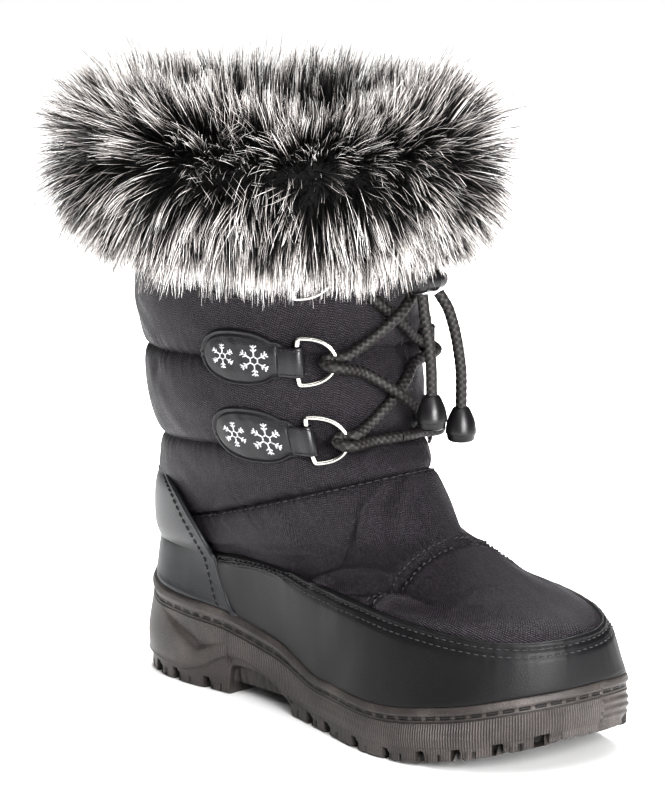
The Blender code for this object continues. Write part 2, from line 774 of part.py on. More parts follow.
# Cord's free ends: places in front of, beside and above the lock's middle.
LEFT_END_ROUTE = np.array([
    # forward, inwards, up
    (0.0015, -0.0040, -0.0057),
    (0.0025, -0.0040, -0.0125),
    (0.0055, -0.0035, -0.0275),
    (0.0070, -0.0035, -0.0395),
    (0.0073, -0.0035, -0.0510),
])
RIGHT_END_ROUTE = np.array([
    # forward, inwards, up
    (0.0025, 0.0050, -0.0057),
    (0.0060, 0.0080, -0.0135),
    (0.0095, 0.0105, -0.0305),
    (0.0110, 0.0112, -0.0445),
    (0.0110, 0.0112, -0.0580),
])


def smooth_line(points, spacing):
    """Points at about this spacing on a smooth curve through the given ones."""
    points = np.asarray(points, float)
    run = np.concatenate([[0], np.cumsum(np.linalg.norm(np.diff(points, axis=0), axis=1))])
    where = np.linspace(0, run[-1], max(int(round(run[-1] / spacing)), 2) + 1)
    return np.column_stack([smooth(run, values, where) for values in points.T])


def lace_turning(height, turn):
    """Where the cord turns just in front of a ring."""
    middle, forward, _, outward = loop_axis(height, turn)
    return middle + (RING_REACH + RING_WIRE / 2 + CORD_DIAMETER / 2 + 0.0012) * forward, outward


def lace_leg(start, end, extra):
    """Points of a leg over the shin from one ring to another, raised by extra in the middle."""
    points = []
    for share in (0.16, 0.33, 0.5, 0.67, 0.84):
        turn = start[1] + (end[1] - start[1]) * share
        height = start[0] + (end[0] - start[0]) * share
        lift = CORD_OFF + extra * np.sin(np.pi * share) ** 2
        points.append(upper(level_at(turn, height), turn, lift))
    return points


def add_lace_crossings():
    """Two zigzags that cross twice over the shin and meet in the lowest bar, fused to one."""
    height = {row: COLLAR_HEIGHT * share for row, share, _ in RING_ROWS}
    turn = {row: turn for row, _, turn in RING_ROWS}

    def ring(row, side):
        there = turn[row] if side == "outer" else 1 - turn[row]
        front, _ = lace_turning(height[row], there)
        pace = place_on_shaft(height[row], there)[4]
        ahead = (PATCH_LENGTH / 2 + LOOP_LEAD + RING_REACH + CORD_DIAMETER) / pace
        return front, (height[row], there + ahead * (1 if side == "outer" else -1))

    def zigzag(stops, raised):
        points = [lock_centre() - np.array([LOCK_WIDTH / 2 + CORD_DIAMETER / 2 + GAP, 0, 0])]
        before = None
        for stop in stops:
            front, there = ring(*stop)
            if before is not None:
                points += lace_leg(before, there, raised)
            points.append(front)
            before = there
        middle = (before[0], 0.5)
        points += lace_leg(before, middle, 0.0)[1:4]
        points.append(upper(level_at(0.5, before[0]), 0.5, CORD_OFF))
        return points

    first = zigzag([("top", "outer"), ("middle", "inner"), ("lower", "outer")], 0.0)
    second = zigzag([("top", "inner"), ("middle", "outer"), ("lower", "inner")], CORD_DIAMETER / 2)
    spacing = 2.2 * CORD_DIAMETER
    one = as_mesh(add_tube("lace_crossings", smooth_line(first, spacing), CORD_DIAMETER, CORD))
    other = as_mesh(
        add_tube("lace_other", smooth_line(second, spacing), CORD_DIAMETER, None, collection=CUTTERS)
    )
    other.hide_render = True
    other.display_type = "WIRE"
    cut(one, other, "UNION")


def add_cord_lock():
    """Barrel with softened ends, across the shin."""
    bpy.ops.mesh.primitive_cylinder_add(
        vertices=16, radius=LOCK_WIDTH / 2, depth=LOCK_LENGTH,
        location=lock_centre(), rotation=(np.pi / 2, 0, 0),
    )
    barrel = bpy.context.object
    barrel.name = "cord_lock"
    barrel.data.materials.append(PLASTIC)
    soften = barrel.modifiers.new("edge", "BEVEL")
    soften.width = 0.0015
    soften.segments = 2
    for home in list(barrel.users_collection):
        home.objects.unlink(barrel)
    PARTS.objects.link(barrel)


def add_bell(name, top):
    """Turned bell: narrow neck, round body and a step near its base."""
    radius = BELL_DIAMETER / 2
    profile = (
        # height share from the top, radius share
        (0.00, 0.48), (0.10, 0.62), (0.35, 0.86), (0.62, 0.98), (0.76, 1.00),
        (0.78, 0.92), (0.92, 0.88), (1.00, 0.72),
    )
    sides = 12
    angles = 2 * np.pi * np.arange(sides) / sides
    rings = []
    for down, share in profile:
        ring = np.column_stack([
            top[0] + radius * share * np.cos(angles),
            top[1] + radius * share * np.sin(angles),
            np.full(sides, top[2] - BELL_LENGTH * down),
        ])
        rings.append(ring)
    faces = [tuple(range(sides)), tuple(range((len(rings) - 1) * sides, len(rings) * sides))]
    for k in range(len(rings) - 1):
        faces += band(k * sides, (k + 1) * sides, sides, True)
    add_mesh(name, np.concatenate(rings), faces, PLASTIC)


def add_cord_ends():
    for side, route in (("left", LEFT_END_ROUTE), ("right", RIGHT_END_ROUTE)):
        places = lock_centre() + route
        add_tube(f"cord_end_{side}", smooth_line(places, 2.2 * CORD_DIAMETER), CORD_DIAMETER, CORD)
        add_bell(f"bell_{side}", places[-1] - np.array([0, 0, GAP]))


add_outsole()
add_insole()
add_upper()
add_mudguard()
add_heel_counter()
add_fur_cuff()
add_rings_and_patches()
add_lace_crossings()
add_cord_lock()
add_cord_ends()
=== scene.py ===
import bpy
import numpy as np
from mathutils import Matrix


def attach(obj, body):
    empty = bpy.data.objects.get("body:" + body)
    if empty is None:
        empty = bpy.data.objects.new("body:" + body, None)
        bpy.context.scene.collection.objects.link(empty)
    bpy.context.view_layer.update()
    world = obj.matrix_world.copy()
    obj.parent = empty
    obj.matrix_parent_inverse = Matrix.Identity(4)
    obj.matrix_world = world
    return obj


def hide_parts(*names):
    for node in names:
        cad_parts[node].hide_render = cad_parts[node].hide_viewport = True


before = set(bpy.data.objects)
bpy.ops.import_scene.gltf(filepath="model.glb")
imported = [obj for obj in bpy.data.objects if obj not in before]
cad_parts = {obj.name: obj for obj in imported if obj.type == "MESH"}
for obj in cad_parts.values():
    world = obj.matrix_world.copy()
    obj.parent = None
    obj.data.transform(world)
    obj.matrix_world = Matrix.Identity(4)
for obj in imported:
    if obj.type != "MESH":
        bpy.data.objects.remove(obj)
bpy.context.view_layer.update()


# Camera: stands where the photo was taken from, a long lens about 2 m from the boot's outer
# front quarter and a little above it.
CAMERA_TURN, CAMERA_TILT = np.radians(48.191), np.radians(12.1994)
CAMERA_DISTANCE = 1.9378
CAMERA_AIM = np.array([0.096, 0.0, 0.130])
AIM_LEFT, AIM_UP = 0.0134, 0.0121
FOCAL_SHARE = 5.341075


def add_camera():
    """Camera whose rows are its right, up and back directions. It looks at a point a little to
    the left of the boot's middle and above it, with a lens of 5.34 times the picture's height."""
    right = np.array([np.cos(CAMERA_TURN), np.sin(CAMERA_TURN), 0.0])
    up = np.array([-np.sin(CAMERA_TURN) * np.sin(CAMERA_TILT),
                   np.cos(CAMERA_TURN) * np.sin(CAMERA_TILT), np.cos(CAMERA_TILT)])
    back = np.cross(right, up)
    place = CAMERA_AIM - AIM_LEFT * right + AIM_UP * up + CAMERA_DISTANCE * back
    data = bpy.data.cameras.new("camera")
    data.sensor_width = 36.0
    data.lens = FOCAL_SHARE * data.sensor_width
    data.clip_end = 30.0
    camera = bpy.data.objects.new("camera", data)
    rows = [[right[i], up[i], back[i], place[i]] for i in range(3)] + [[0.0, 0.0, 0.0, 1.0]]
    camera.matrix_world = Matrix(rows)
    bpy.context.scene.collection.objects.link(camera)
    bpy.context.scene.camera = camera


add_camera()


# Outsole: one moulded unit of foamed rubber. Its cup takes the upper's edge, its side carries a
# moulded stitch groove, ribs and a hatched band, and its tread ends in lugs round a free arch.
# The upper is cemented into it.
SOLE_LENGTH = 0.275
BALL_WIDTH = 0.103
HEEL_CENTRE = 0.034
SOLE_HEIGHT = 0.040
CUP_INSET = 0.0043
OUTLINE = np.array([
    # share, middle, half
    (0.00, 0.000, 0.500),
    (0.06, 0.000, 0.540),
    (0.18, -0.003, 0.478),
    (0.30, -0.020, 0.378),
    (0.42, -0.045, 0.338),
    (0.55, -0.060, 0.390),
    (0.70, -0.038, 0.525),
    (0.85, 0.010, 0.622),
    (1.00, 0.071, 0.670),
])
SOLE_HEIGHTS = np.array([
    # share, floor, rim
    (0.00, 0.75, 1.200),
    (0.10, 0.75, 1.058),
    (0.25, 0.70, 1.010),
    (0.40, 0.52, 0.850),
    (0.55, 0.375, 0.615),
    (0.70, 0.340, 0.608),
    (0.85, 0.420, 0.730),
    (1.00, 0.690, 0.973),
])
LUG_LINE = np.array([
    # share, height of the line between side wall and lugs over the tread
    (0.00, 0.0085),
    (0.09, 0.0079),
    (0.14, 0.0077),
    (0.177, 0.0073),
    (0.213, 0.0090),
    (0.233, 0.0107),
    (0.262, 0.0155),
    (0.288, 0.0181),
    (0.314, 0.0190),
    (0.352, 0.0178),
    (0.379, 0.0159),
    (0.414, 0.0119),
    (0.443, 0.0081),
    (0.60, 0.0076),
    (0.80, 0.0074),
    (0.93, 0.0057),
    (1.00, 0.0055),
])
ARCH_BROW = np.array([
    # share, height of the window's upper edge over the arch
    (0.288, 0.0030),
    (0.293, 0.0135),
    (0.300, 0.0152),
    (0.330, 0.0158),
    (0.360, 0.0153),
    (0.385, 0.0138),
    (0.410, 0.0112),
    (0.435, 0.0080),
    (0.449, 0.0055),
    (0.453, 0.0030),
])
DENT_LINE = np.array([
    # share, height of the dent's lower edge, depth in metres
    (0.105, 0.0335, 0.0000),
    (0.137, 0.0301, 0.0009),
    (0.173, 0.0260, 0.0020),
    (0.195, 0.0235, 0.0025),
    (0.221, 0.0205, 0.0024),
    (0.249, 0.0222, 0.0013),
    (0.277, 0.0249, 0.0006),
    (0.310, 0.0275, 0.0000),
])
GAPS = (0.052, 0.100, 0.156, 0.235, 0.511, 0.569, 0.661, 0.740, 0.811, 0.871, 0.929, 0.9755)
NOTCHES = (0.075, 0.128, 0.195, 0.266, 0.473, 0.536, 0.607, 0.695, 0.773, 0.844, 0.898, 0.955)
GAP_WIDTH = 0.0034
TOE_MARK = 0.5025


def smooth(at, values, where):
    """Monotone cubic through (at, values)."""
    step = np.diff(at)
    slope = np.diff(values) / step
    tangent = np.zeros(len(at))
    tangent[0] = slope[0]
    tangent[-1] = slope[-1]
    same = slope[:-1] * slope[1:] > 0
    mean = 2 * slope[:-1] * slope[1:] / np.where(same, slope[:-1] + slope[1:], 1.0)
    tangent[1:-1] = np.where(same, mean, 0.0)
    where = np.clip(where, at[0], at[-1])
    row = np.clip(np.searchsorted(at, where, side="right") - 1, 0, len(step) - 1)
    t = (where - at[row]) / step[row]
    start = (1 + 2 * t) * (1 - t) ** 2 * values[row] + t * (1 - t) ** 2 * step[row] * tangent[row]
    end = t * t * (3 - 2 * t) * values[row + 1] - t * t * (1 - t) * step[row] * tangent[row + 1]
    return start + end


def ease(low, high, value):
    """0 below low, 1 above high and t t (3 - 2 t) between them."""
    t = np.clip((value - low) / (high - low), 0.0, 1.0)
    return t * t * (3 - 2 * t)


def hump(value, at, width):
    """exp(-((value - at) / width)^2): 1 at its place, and gone at twice its width."""
    return np.exp(-(((value - at) / width) ** 2))


def run_along(points):
    """Length run along a line of points, at each of them."""
    return np.concatenate([[0], np.cumsum(np.linalg.norm(np.diff(points, axis=0), axis=1))])


def unit(vectors):
    """Vectors divided by their own lengths."""
    return vectors / np.linalg.norm(vectors, axis=-1, keepdims=True)


def along_share(turn):
    """Share of the sole's length at each turn, which is 0 at the heel and 0.5 at the toe."""
    return (1 - np.cos(2 * np.pi * turn)) / 2


def edge_point(turn):
    """x = L share - h, y = W (middle - sign(sin) half |sin|^0.8), with share = (1 - cos) / 2."""
    across = np.sin(2 * np.pi * turn)
    share = along_share(turn)
    middle = smooth(OUTLINE[:, 0], OUTLINE[:, 1], share)
    half = smooth(OUTLINE[:, 0], OUTLINE[:, 2], share)
    y = BALL_WIDTH * (middle - np.sign(across) * half * np.abs(across) ** 0.8)
    return np.stack([SOLE_LENGTH * share - HEEL_CENTRE, y], -1)


def outline(turn, inset):
    """The sole's edge moved inwards along its own normal."""
    way = unit(edge_point(turn + 0.004) - edge_point(turn - 0.004))
    outward = np.stack([way[..., 1], -way[..., 0]], -1)
    return edge_point(turn) - inset[..., None] * outward


def tread_height(share):
    """Toe spring: 15.6 mm t^1.8 over the last 28 % of the sole's length."""
    t = np.clip((share - 0.72) / 0.28, 0.0, 1.0)
    return 0.0156 * t ** 1.8


def rim_height(share):
    """Top of the cup's rim over the floor."""
    return SOLE_HEIGHT * smooth(SOLE_HEIGHTS[:, 0], SOLE_HEIGHTS[:, 2], share)


def floor_height(share):
    """Inside floor of the cup."""
    return SOLE_HEIGHT * smooth(SOLE_HEIGHTS[:, 0], SOLE_HEIGHTS[:, 1], share)


def even_turns(count):
    """Turns at equal steps of length along the sole's edge."""
    fine = np.linspace(0, 1, 4001)
    run = run_along(edge_point(fine))
    return np.interp(np.linspace(0, run[-1], count, endpoint=False), run, fine)


def srgb(code):
    """Colour of the shader from a hex code as a screen shows it."""
    values = [int(code[i:i + 2], 16) / 255 for i in (1, 3, 5)]
    linear = [v / 12.92 if v <= 0.04045 else ((v + 0.055) / 1.055) ** 2.4 for v in values]
    return (*linear, 1.0)


def add_node(tree, kind, *values, stops=(), **settings):
    """A node with its settings and, for a colour ramp, its (place, hex colour) stops. Its inputs
    come in order, or by name in one dict. Each is set to a value, or linked to a socket or to a
    node's first output. The kind "Math MULTIPLY" is a Math node that multiplies."""
    kind, _, operation = kind.partition(" ")
    made = tree.nodes.new("ShaderNode" + kind)
    if operation:
        made.operation = operation
    for key, value in settings.items():
        setattr(made, key, value)
    inputs = values[0] if values and isinstance(values[0], dict) else dict(enumerate(values))
    for key, value in inputs.items():
        if isinstance(value, bpy.types.Node):
            value = value.outputs[0]
        if isinstance(value, bpy.types.NodeSocket):
            tree.links.new(value, made.inputs[key])
        else:
            made.inputs[key].default_value = value
    for i, (place, code) in enumerate(stops):
        line = made.color_ramp.elements
        element = line[i] if i < len(line) else line.new(place)
        element.position, element.color = place, srgb(code)
    return made


def new_material(name):
    """An empty material and its node tree."""
    made = bpy.data.materials.new(name)
    made.use_nodes = True
    made.node_tree.nodes.clear()
    return made, made.node_tree


def finish_shader(tree, **inputs):
    """Principled shader with these inputs, named with _ for a space."""
    named = {key.replace("_", " "): value for key, value in inputs.items()}
    shader = add_node(tree, "BsdfPrincipled", named)
    add_node(tree, "OutputMaterial", shader)


def add_object(name, mesh, finish, replaced=(), sharp=None):
    """Object of the boot that rides on its one body."""
    mesh.shade_smooth()
    if sharp:
        mesh.set_sharp_from_angle(angle=np.radians(sharp))
    made = bpy.data.objects.new(name, mesh)
    bpy.context.scene.collection.objects.link(made)
    mesh.materials.append(finish)
    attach(made, "root")
    if replaced:
        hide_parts(*replaced)
    return made


def grid_faces(rows, columns, round_rows=False, round_columns=True):
    """Quads of a grid of points, which may close round its columns, its rows or both."""
    r = np.arange(rows if round_rows else rows - 1)[:, None]
    c = np.arange(columns if round_columns else columns - 1)[None, :]
    below, right = (r + 1) % rows, (c + 1) % columns
    corners = [r * columns + c, r * columns + right, below * columns + right, below * columns + c]
    return np.stack(np.broadcast_arrays(*corners), -1).reshape(-1, 4)


def make_mesh(name, points, faces, flip=False, **attributes):
    """Mesh from whole arrays. An attribute of one number a point is stored as it is, and one of
    two numbers a point becomes a UV map."""
    faces = faces[:, ::-1] if flip else faces
    points = np.ascontiguousarray(np.reshape(points, (-1, 3)), np.float32)
    mesh = bpy.data.meshes.new(name)
    mesh.vertices.add(len(points))
    mesh.vertices.foreach_set("co", points.ravel())
    mesh.loops.add(faces.size)
    mesh.loops.foreach_set("vertex_index", np.ascontiguousarray(faces, np.int32).ravel())
    mesh.polygons.add(len(faces))
    starts = np.arange(0, faces.size, faces.shape[1], dtype=np.int32)
    mesh.polygons.foreach_set("loop_start", starts)
    mesh.update(calc_edges=True)
    for key, values in attributes.items():
        values = np.asarray(values, np.float32)
        if values.shape[-1] == 2 and values.size == 2 * len(points):
            layer = mesh.uv_layers.new(name=key)
            layer.data.foreach_set("uv", values.reshape(-1, 2)[faces.ravel()].ravel())
        else:
            layer = mesh.attributes.new(key, "FLOAT", "POINT")
            layer.data.foreach_set("value", values.ravel())
    mesh.validate()
    return mesh


def tread_mask(x, y, shares, width, chevron=0.006):
    """1 in a groove of this width across the tread at each share, 0 outside it."""
    share = (x + HEEL_CENTRE) / SOLE_LENGTH
    middle = BALL_WIDTH * smooth(OUTLINE[:, 0], OUTLINE[:, 1], share)
    bend = chevron * (np.abs(y - middle) / BALL_WIDTH - 0.45)
    near = np.min([np.abs(x + bend + HEEL_CENTRE - SOLE_LENGTH * s) for s in shares], axis=0)
    return 1 - ease(width / 2 - 0.00025, width / 2 + 0.00025, near)


HATCH_PITCH = 0.00125
STITCH_PITCH = 0.0072


def outsole_rubber():
    """Foamed rubber, moulded with a fine grain: dark grey, and only the grain's tops glint. On its side are
    hatching drawn at 1.25 mm, about half as fine as it is, which also shifts the colour as painted highlight
    on the ribs' tops and painted shade between them, and a moulded row of stitches: pits of 5 mm every 7.2
    mm with a thread in each, over a thin line. The pits, the line and the hollows that the mesh marks are
    painted dark as shade."""
    made, tree = new_material("sole_rubber")
    parts = add_node(tree, "SeparateXYZ", add_node(tree, "UVMap", uv_map="run"))
    run, off = parts.outputs["X"], parts.outputs["Y"]
    place = add_node(tree, "TexCoord").outputs["Object"]
    grain = add_node(tree, "TexNoise", {"Vector": place, "Scale": 1500.0, "Detail": 3.0})
    dust = add_node(tree, "TexNoise", {"Vector": place, "Scale": 48.0, "Detail": 6.0})
    wave = add_node(tree, "Math SINE", add_node(tree, "Math MULTIPLY", run, 2 * np.pi / HATCH_PITCH))
    hatch = add_node(tree, "Attribute", attribute_name="hatch").outputs["Fac"]
    # Painted shade mask: how far the mesh darkens a gap, a notch, the mould line or the arch's window.
    deep = add_node(tree, "Attribute", attribute_name="deep").outputs["Fac"]
    ribbed = add_node(tree, "Math MULTIPLY", wave, hatch)
    along = add_node(tree, "Math PINGPONG", run, STITCH_PITCH / 2)
    from_row = add_node(tree, "Math ABSOLUTE", off)

    def inside(half_long, half_high, soft):
        """1 inside a box round each stitch's middle, and 0 outside it, past a soft border."""
        long = add_node(tree, "Math MULTIPLY_ADD", along, -1 / soft, half_long / soft)
        high = add_node(tree, "Math MULTIPLY_ADD", from_row, -1 / soft, half_high / soft)
        return add_node(tree, "Clamp", add_node(tree, "Math MINIMUM", long, high))

    pit, thread = inside(0.0026, 0.00085, 0.00025), inside(0.0021, 0.00040, 0.0003)
    hollow = add_node(tree, "Math SUBTRACT", pit, add_node(tree, "Math MULTIPLY", thread, 0.85))
    from_line = add_node(tree, "Math ABSOLUTE", add_node(tree, "Math ADD", off, 0.0018))
    line = add_node(tree, "Clamp", add_node(
        tree, "Math MULTIPLY_ADD", from_line, -1 / 0.0003, 0.00045 / 0.0003))
    # Painted shade: the pits, the moulded line and the masked hollows are mixed towards near black.
    shade = add_node(tree, "Math MAXIMUM", add_node(tree, "Math MAXIMUM", deep, hollow),
                     add_node(tree, "Math MULTIPLY", line, 0.7))
    relief = add_node(tree, "Math MULTIPLY_ADD", ribbed, 0.45, add_node(tree, "Math MULTIPLY", grain, 0.6))
    relief = add_node(tree, "Math MULTIPLY_ADD", hollow, -2.2, relief)
    relief = add_node(tree, "Math MULTIPLY_ADD", line, -1.2, relief)
    bump = add_node(tree, "Bump", {"Height": relief, "Distance": 0.0005, "Strength": 0.9})
    value = add_node(tree, "Math MULTIPLY_ADD", grain, 0.35, add_node(tree, "Math MULTIPLY", dust, 0.65))
    # The hatching also shifts the colour: painted highlight on the ribs' tops and painted shade between
    # them.
    value = add_node(tree, "Math MULTIPLY_ADD", ribbed, 0.16, value)
    tone = add_node(tree, "ValToRGB", value, stops=[(0.22, "#1c1918"), (0.50, "#383331"), (0.80, "#645d5a")])
    mixed = add_node(tree, "Mix", {"Factor": shade, "A": tone, "B": srgb("#0c0b0b")}, data_type="RGBA")
    rough = add_node(tree, "Math MULTIPLY_ADD", dust, 0.22, 0.38)
    finish_shader(tree, Base_Color=mixed.outputs["Result"], Roughness=rough, Normal=bump,
                  Specular_IOR_Level=0.5)
    return made


def side_turns(count):
    """Even turns along the sole's edge, and a pair of turns at either edge of every gap, so that
    the gaps' walls stand upright; and the length run along the edge."""
    near = [s * SOLE_LENGTH + edge for s in GAPS for edge in (-GAP_WIDTH / 2, GAP_WIDTH / 2)]
    share = (np.repeat(near, 2) + np.tile([-0.00022, 0.00022], len(near))) / SOLE_LENGTH
    turn = np.arccos(1 - 2 * np.clip(share, 0, 1)) / (2 * np.pi)
    turn = np.unique(np.concatenate([even_turns(count), turn, 1 - turn]))
    fine = np.linspace(0, 1, 4001)
    return turn, np.interp(turn, fine, run_along(edge_point(fine)))


def add_outsole():
    """Side and tread as one grid. A row k of the side lies at z = rim - t (rim - lower edge),
    inset by the sum of the bead, groove, ribs, dent, ledge and gaps there; under rows run in to
    the arch's window or turn the tread's edge; tread rows run from there to the middle line."""
    turn, run = side_turns(760)
    share = along_share(turn)
    tread = tread_height(share)
    # Small teeth along the front of the tread.
    tooth = np.abs((run / 0.0038) % 1 - 0.5) * 2
    tooth = tooth * ease(0.466, 0.470, turn) * (1 - ease(0.496, 0.499, turn))
    rim = rim_height(share)
    lug = tread + smooth(LUG_LINE[:, 0], LUG_LINE[:, 1], share)
    in_arch = ease(0.2885, 0.2925, share) * (1 - ease(0.4500, 0.4535, share))
    brow = np.where(in_arch > 0.02, smooth(ARCH_BROW[:, 0], ARCH_BROW[:, 1], share), tread)
    low = np.where(in_arch > 0.02, brow, tread + 0.0012 + 0.0011 * tooth)
    flare = 0.0018 * (1 - ease(0.10, 0.30, share))
    fore = ease(0.46, 0.62, share)
    lateral = turn < 0.5
    stitch_drop = 0.0066 - 0.0017 * ease(0.36, 0.56, share)
    dent_z = smooth(DENT_LINE[:, 0], DENT_LINE[:, 1], share)
    dent_depth = smooth(DENT_LINE[:, 0], DENT_LINE[:, 2], share) * np.where(lateral, 1.0, 0.5)
    toe_side = ease(TOE_MARK - 0.0008, TOE_MARK + 0.0008, turn) * (1 - ease(0.585, 0.600, turn))
    x = SOLE_LENGTH * share - HEEL_CENTRE
    gap = tread_mask(x, 0 * share, GAPS, GAP_WIDTH, 0.0)
    notch = tread_mask(x, 0 * share, NOTCHES, 0.0010, 0.0)
    front_of_gap = tread_mask(x - 0.0028, 0 * share, GAPS, 0.0026, 0.0)
    rows, insets, deeps, hatches = [], [], [], []

    def add_row(z, inset, deep=0.0, hatch=0.0):
        """A row of the grid, how much painted shade darkens its hollows, and how strong its hatching is."""
        rows.append(z + 0 * turn)
        insets.append(inset + 0 * turn)
        deeps.append(deep + 0 * turn)
        hatches.append(hatch + 0 * turn)

    add_row(floor_height(share), CUP_INSET)
    add_row(rim - 0.0014, CUP_INSET)
    for angle in np.radians(np.linspace(0, 180, 9)):
        add_row(rim - 0.0014 * (1 - np.sin(angle)), 0.0026 + 0.0018 * np.cos(angle))
    for t in np.linspace(0, 1, 48)[1:]:
        z = rim - 0.0022 + t * (low - rim + 0.0022)
        under = rim - z
        above_lug = z - lug
        bead = 0.0007 * (1 - ease(0.0006, 0.0030, under))
        bead = bead - 0.0005 * hump(under, 0.0030, 0.0018)
        channel = 0.0009 * hump(under, stitch_drop, 0.0012)
        belly = 0.0008 * np.sin(np.pi * np.clip((z - lug) / (rim - 0.008 - lug), 0, 1))
        ledge = (0.0011 - 0.0008 * fore) * (1 - ease(-0.0003, 0.0003, above_lug))
        lip = -0.0004 * hump(above_lug, 0.0008, 0.0007) * (1 - fore)
        rib_zone = fore * ease(0.0012, 0.0022, under - stitch_drop) * ease(0.0002, 0.0014, above_lug)
        ribs = 0.0008 * rib_zone * (0.16 + 0.84 * toe_side) * (
            0.5 - 0.5 * np.cos(2 * np.pi * (z - lug - 0.0008) / 0.0034)
        )
        over = z - dent_z
        dent = dent_depth * np.where(over > 0, np.exp(-over / 0.0070), np.exp(over / 0.0011))
        lean = -flare * ease(0.0, 1.0, (rim - 0.010 - z) / 0.020)
        mark = 0.0011 * hump(turn, TOE_MARK, 0.0007) + 0.0003 * toe_side
        inset = 0.0005 + lean + bead + channel - belly + ledge + lip + ribs + dent + mark
        height = z - tread
        cut = gap * (1 - ease(0.0050, 0.0058, height)) * (1 - in_arch)
        nick = notch * (1 - ease(0.0034, 0.0044, height)) * (1 - in_arch)
        slope = front_of_gap * (1 - ease(0.0030, 0.0055, height)) * (1 - in_arch)
        hatch = ease(0.0020, 0.0028, under - stitch_drop) * ease(0.235, 0.285, share)
        hatch = hatch * (1 - toe_side) * (1 - 0.5 * (above_lug < 0.0002))
        # Painted shade in the lugs' gaps, the notches and the toe's mould line.
        deep = np.clip(0.85 * cut + 0.7 * nick + 40 * mark * (mark > 0.0005), 0, 0.95)
        add_row(z, inset + 0.0060 * cut + 0.0014 * nick + 0.0012 * slope, deep, hatch)
    # In the arch's window a ribbed wall stands back under the brow, darkened with painted shade; elsewhere
    # the tread turns in.
    rib = 0.0009 * (0.5 + 0.5 * np.cos(2 * np.pi * share * SOLE_LENGTH / 0.0047)) ** 2
    for arch_z, arch_inset, arch_deep, tread_z, tread_inset in (
        (brow - 0.0004, 0.0016, 0.2, tread + 0.0007, 0.0008),
        (brow - 0.0010, 0.0044, 0.7, tread + 0.0003, 0.0014),
        (brow * 0.66 + 0.0020, 0.0048 - rib, 0.25, tread + 0.0001, 0.0022),
        (brow * 0.33 + 0.0040, 0.0052 - rib, 0.30, tread, 0.0034),
        (0.0060, 0.0060 - 0.5 * rib, 0.45, tread, 0.0052),
        (0.0058, 0.0100, 0.8, tread, 0.0090),
    ):
        inset = np.where(in_arch > 0.02, arch_inset, tread_inset - flare + 0.0008)
        edge = outline(turn, inset)
        cut = tread_mask(edge[:, 0], edge[:, 1], GAPS, GAP_WIDTH) * (1 - in_arch)
        outer = tread_inset < 0.003
        z = np.where(in_arch > 0.02, np.minimum(arch_z, brow - 0.0004), tread_z + 0.0010 * tooth * outer)
        add_row(z + 0.0045 * cut, inset + 0.0040 * cut * outer,
                np.where(in_arch > 0.02, arch_deep, 0.8 * cut))
    place = outline(turn[None, :], np.array(insets))
    grid = np.dstack([place, np.array(rows)])
    # Tread from its edge to the middle line.
    last = grid[-1]
    other = np.interp((1 - turn) % 1, np.append(turn, 1.0), np.append(last[:, 0], last[0, 0]))
    other_y = np.interp((1 - turn) % 1, np.append(turn, 1.0), np.append(last[:, 1], last[0, 1]))
    middle = np.stack([(last[:, 0] + other) / 2, (last[:, 1] + other_y) / 2], -1)
    tread_rows = []
    for w in np.linspace(0.06, 1.0, 10):
        xy = last[:, :2] * (1 - w) + middle * w
        cut = tread_mask(xy[:, 0], xy[:, 1], GAPS, GAP_WIDTH)
        z = np.where(in_arch > 0.02, 0.0058, tread) + 0.0045 * cut * (1 - in_arch)
        tread_rows.append(np.column_stack([xy, z]))
        # The tread's gaps and the arch's underside are darkened as painted shade.
        deeps.append(np.maximum(0.6 * cut, 0.6 * in_arch))
        hatches.append(0 * turn)
    grid = np.concatenate([grid, np.array(tread_rows)])
    inner_middle = np.column_stack([middle, grid[0, :, 2]])
    grid = np.concatenate([inner_middle[None], grid])
    deeps.insert(0, 0 * turn)
    hatches.insert(0, 0 * turn)
    from_stitches = grid[..., 2] - (rim - stitch_drop)
    uv = np.dstack([np.broadcast_to(run, grid.shape[:2]), from_stitches])
    uv[:10, :, 1] = 0.02
    mesh = make_mesh("outsole_body", grid, grid_faces(*grid.shape[:2]), True,
                     run=uv, deep=np.array(deeps), hatch=np.array(hatches))
    add_object("outsole_body", mesh, outsole_rubber(), ["outsole"], sharp=38)


add_outsole()


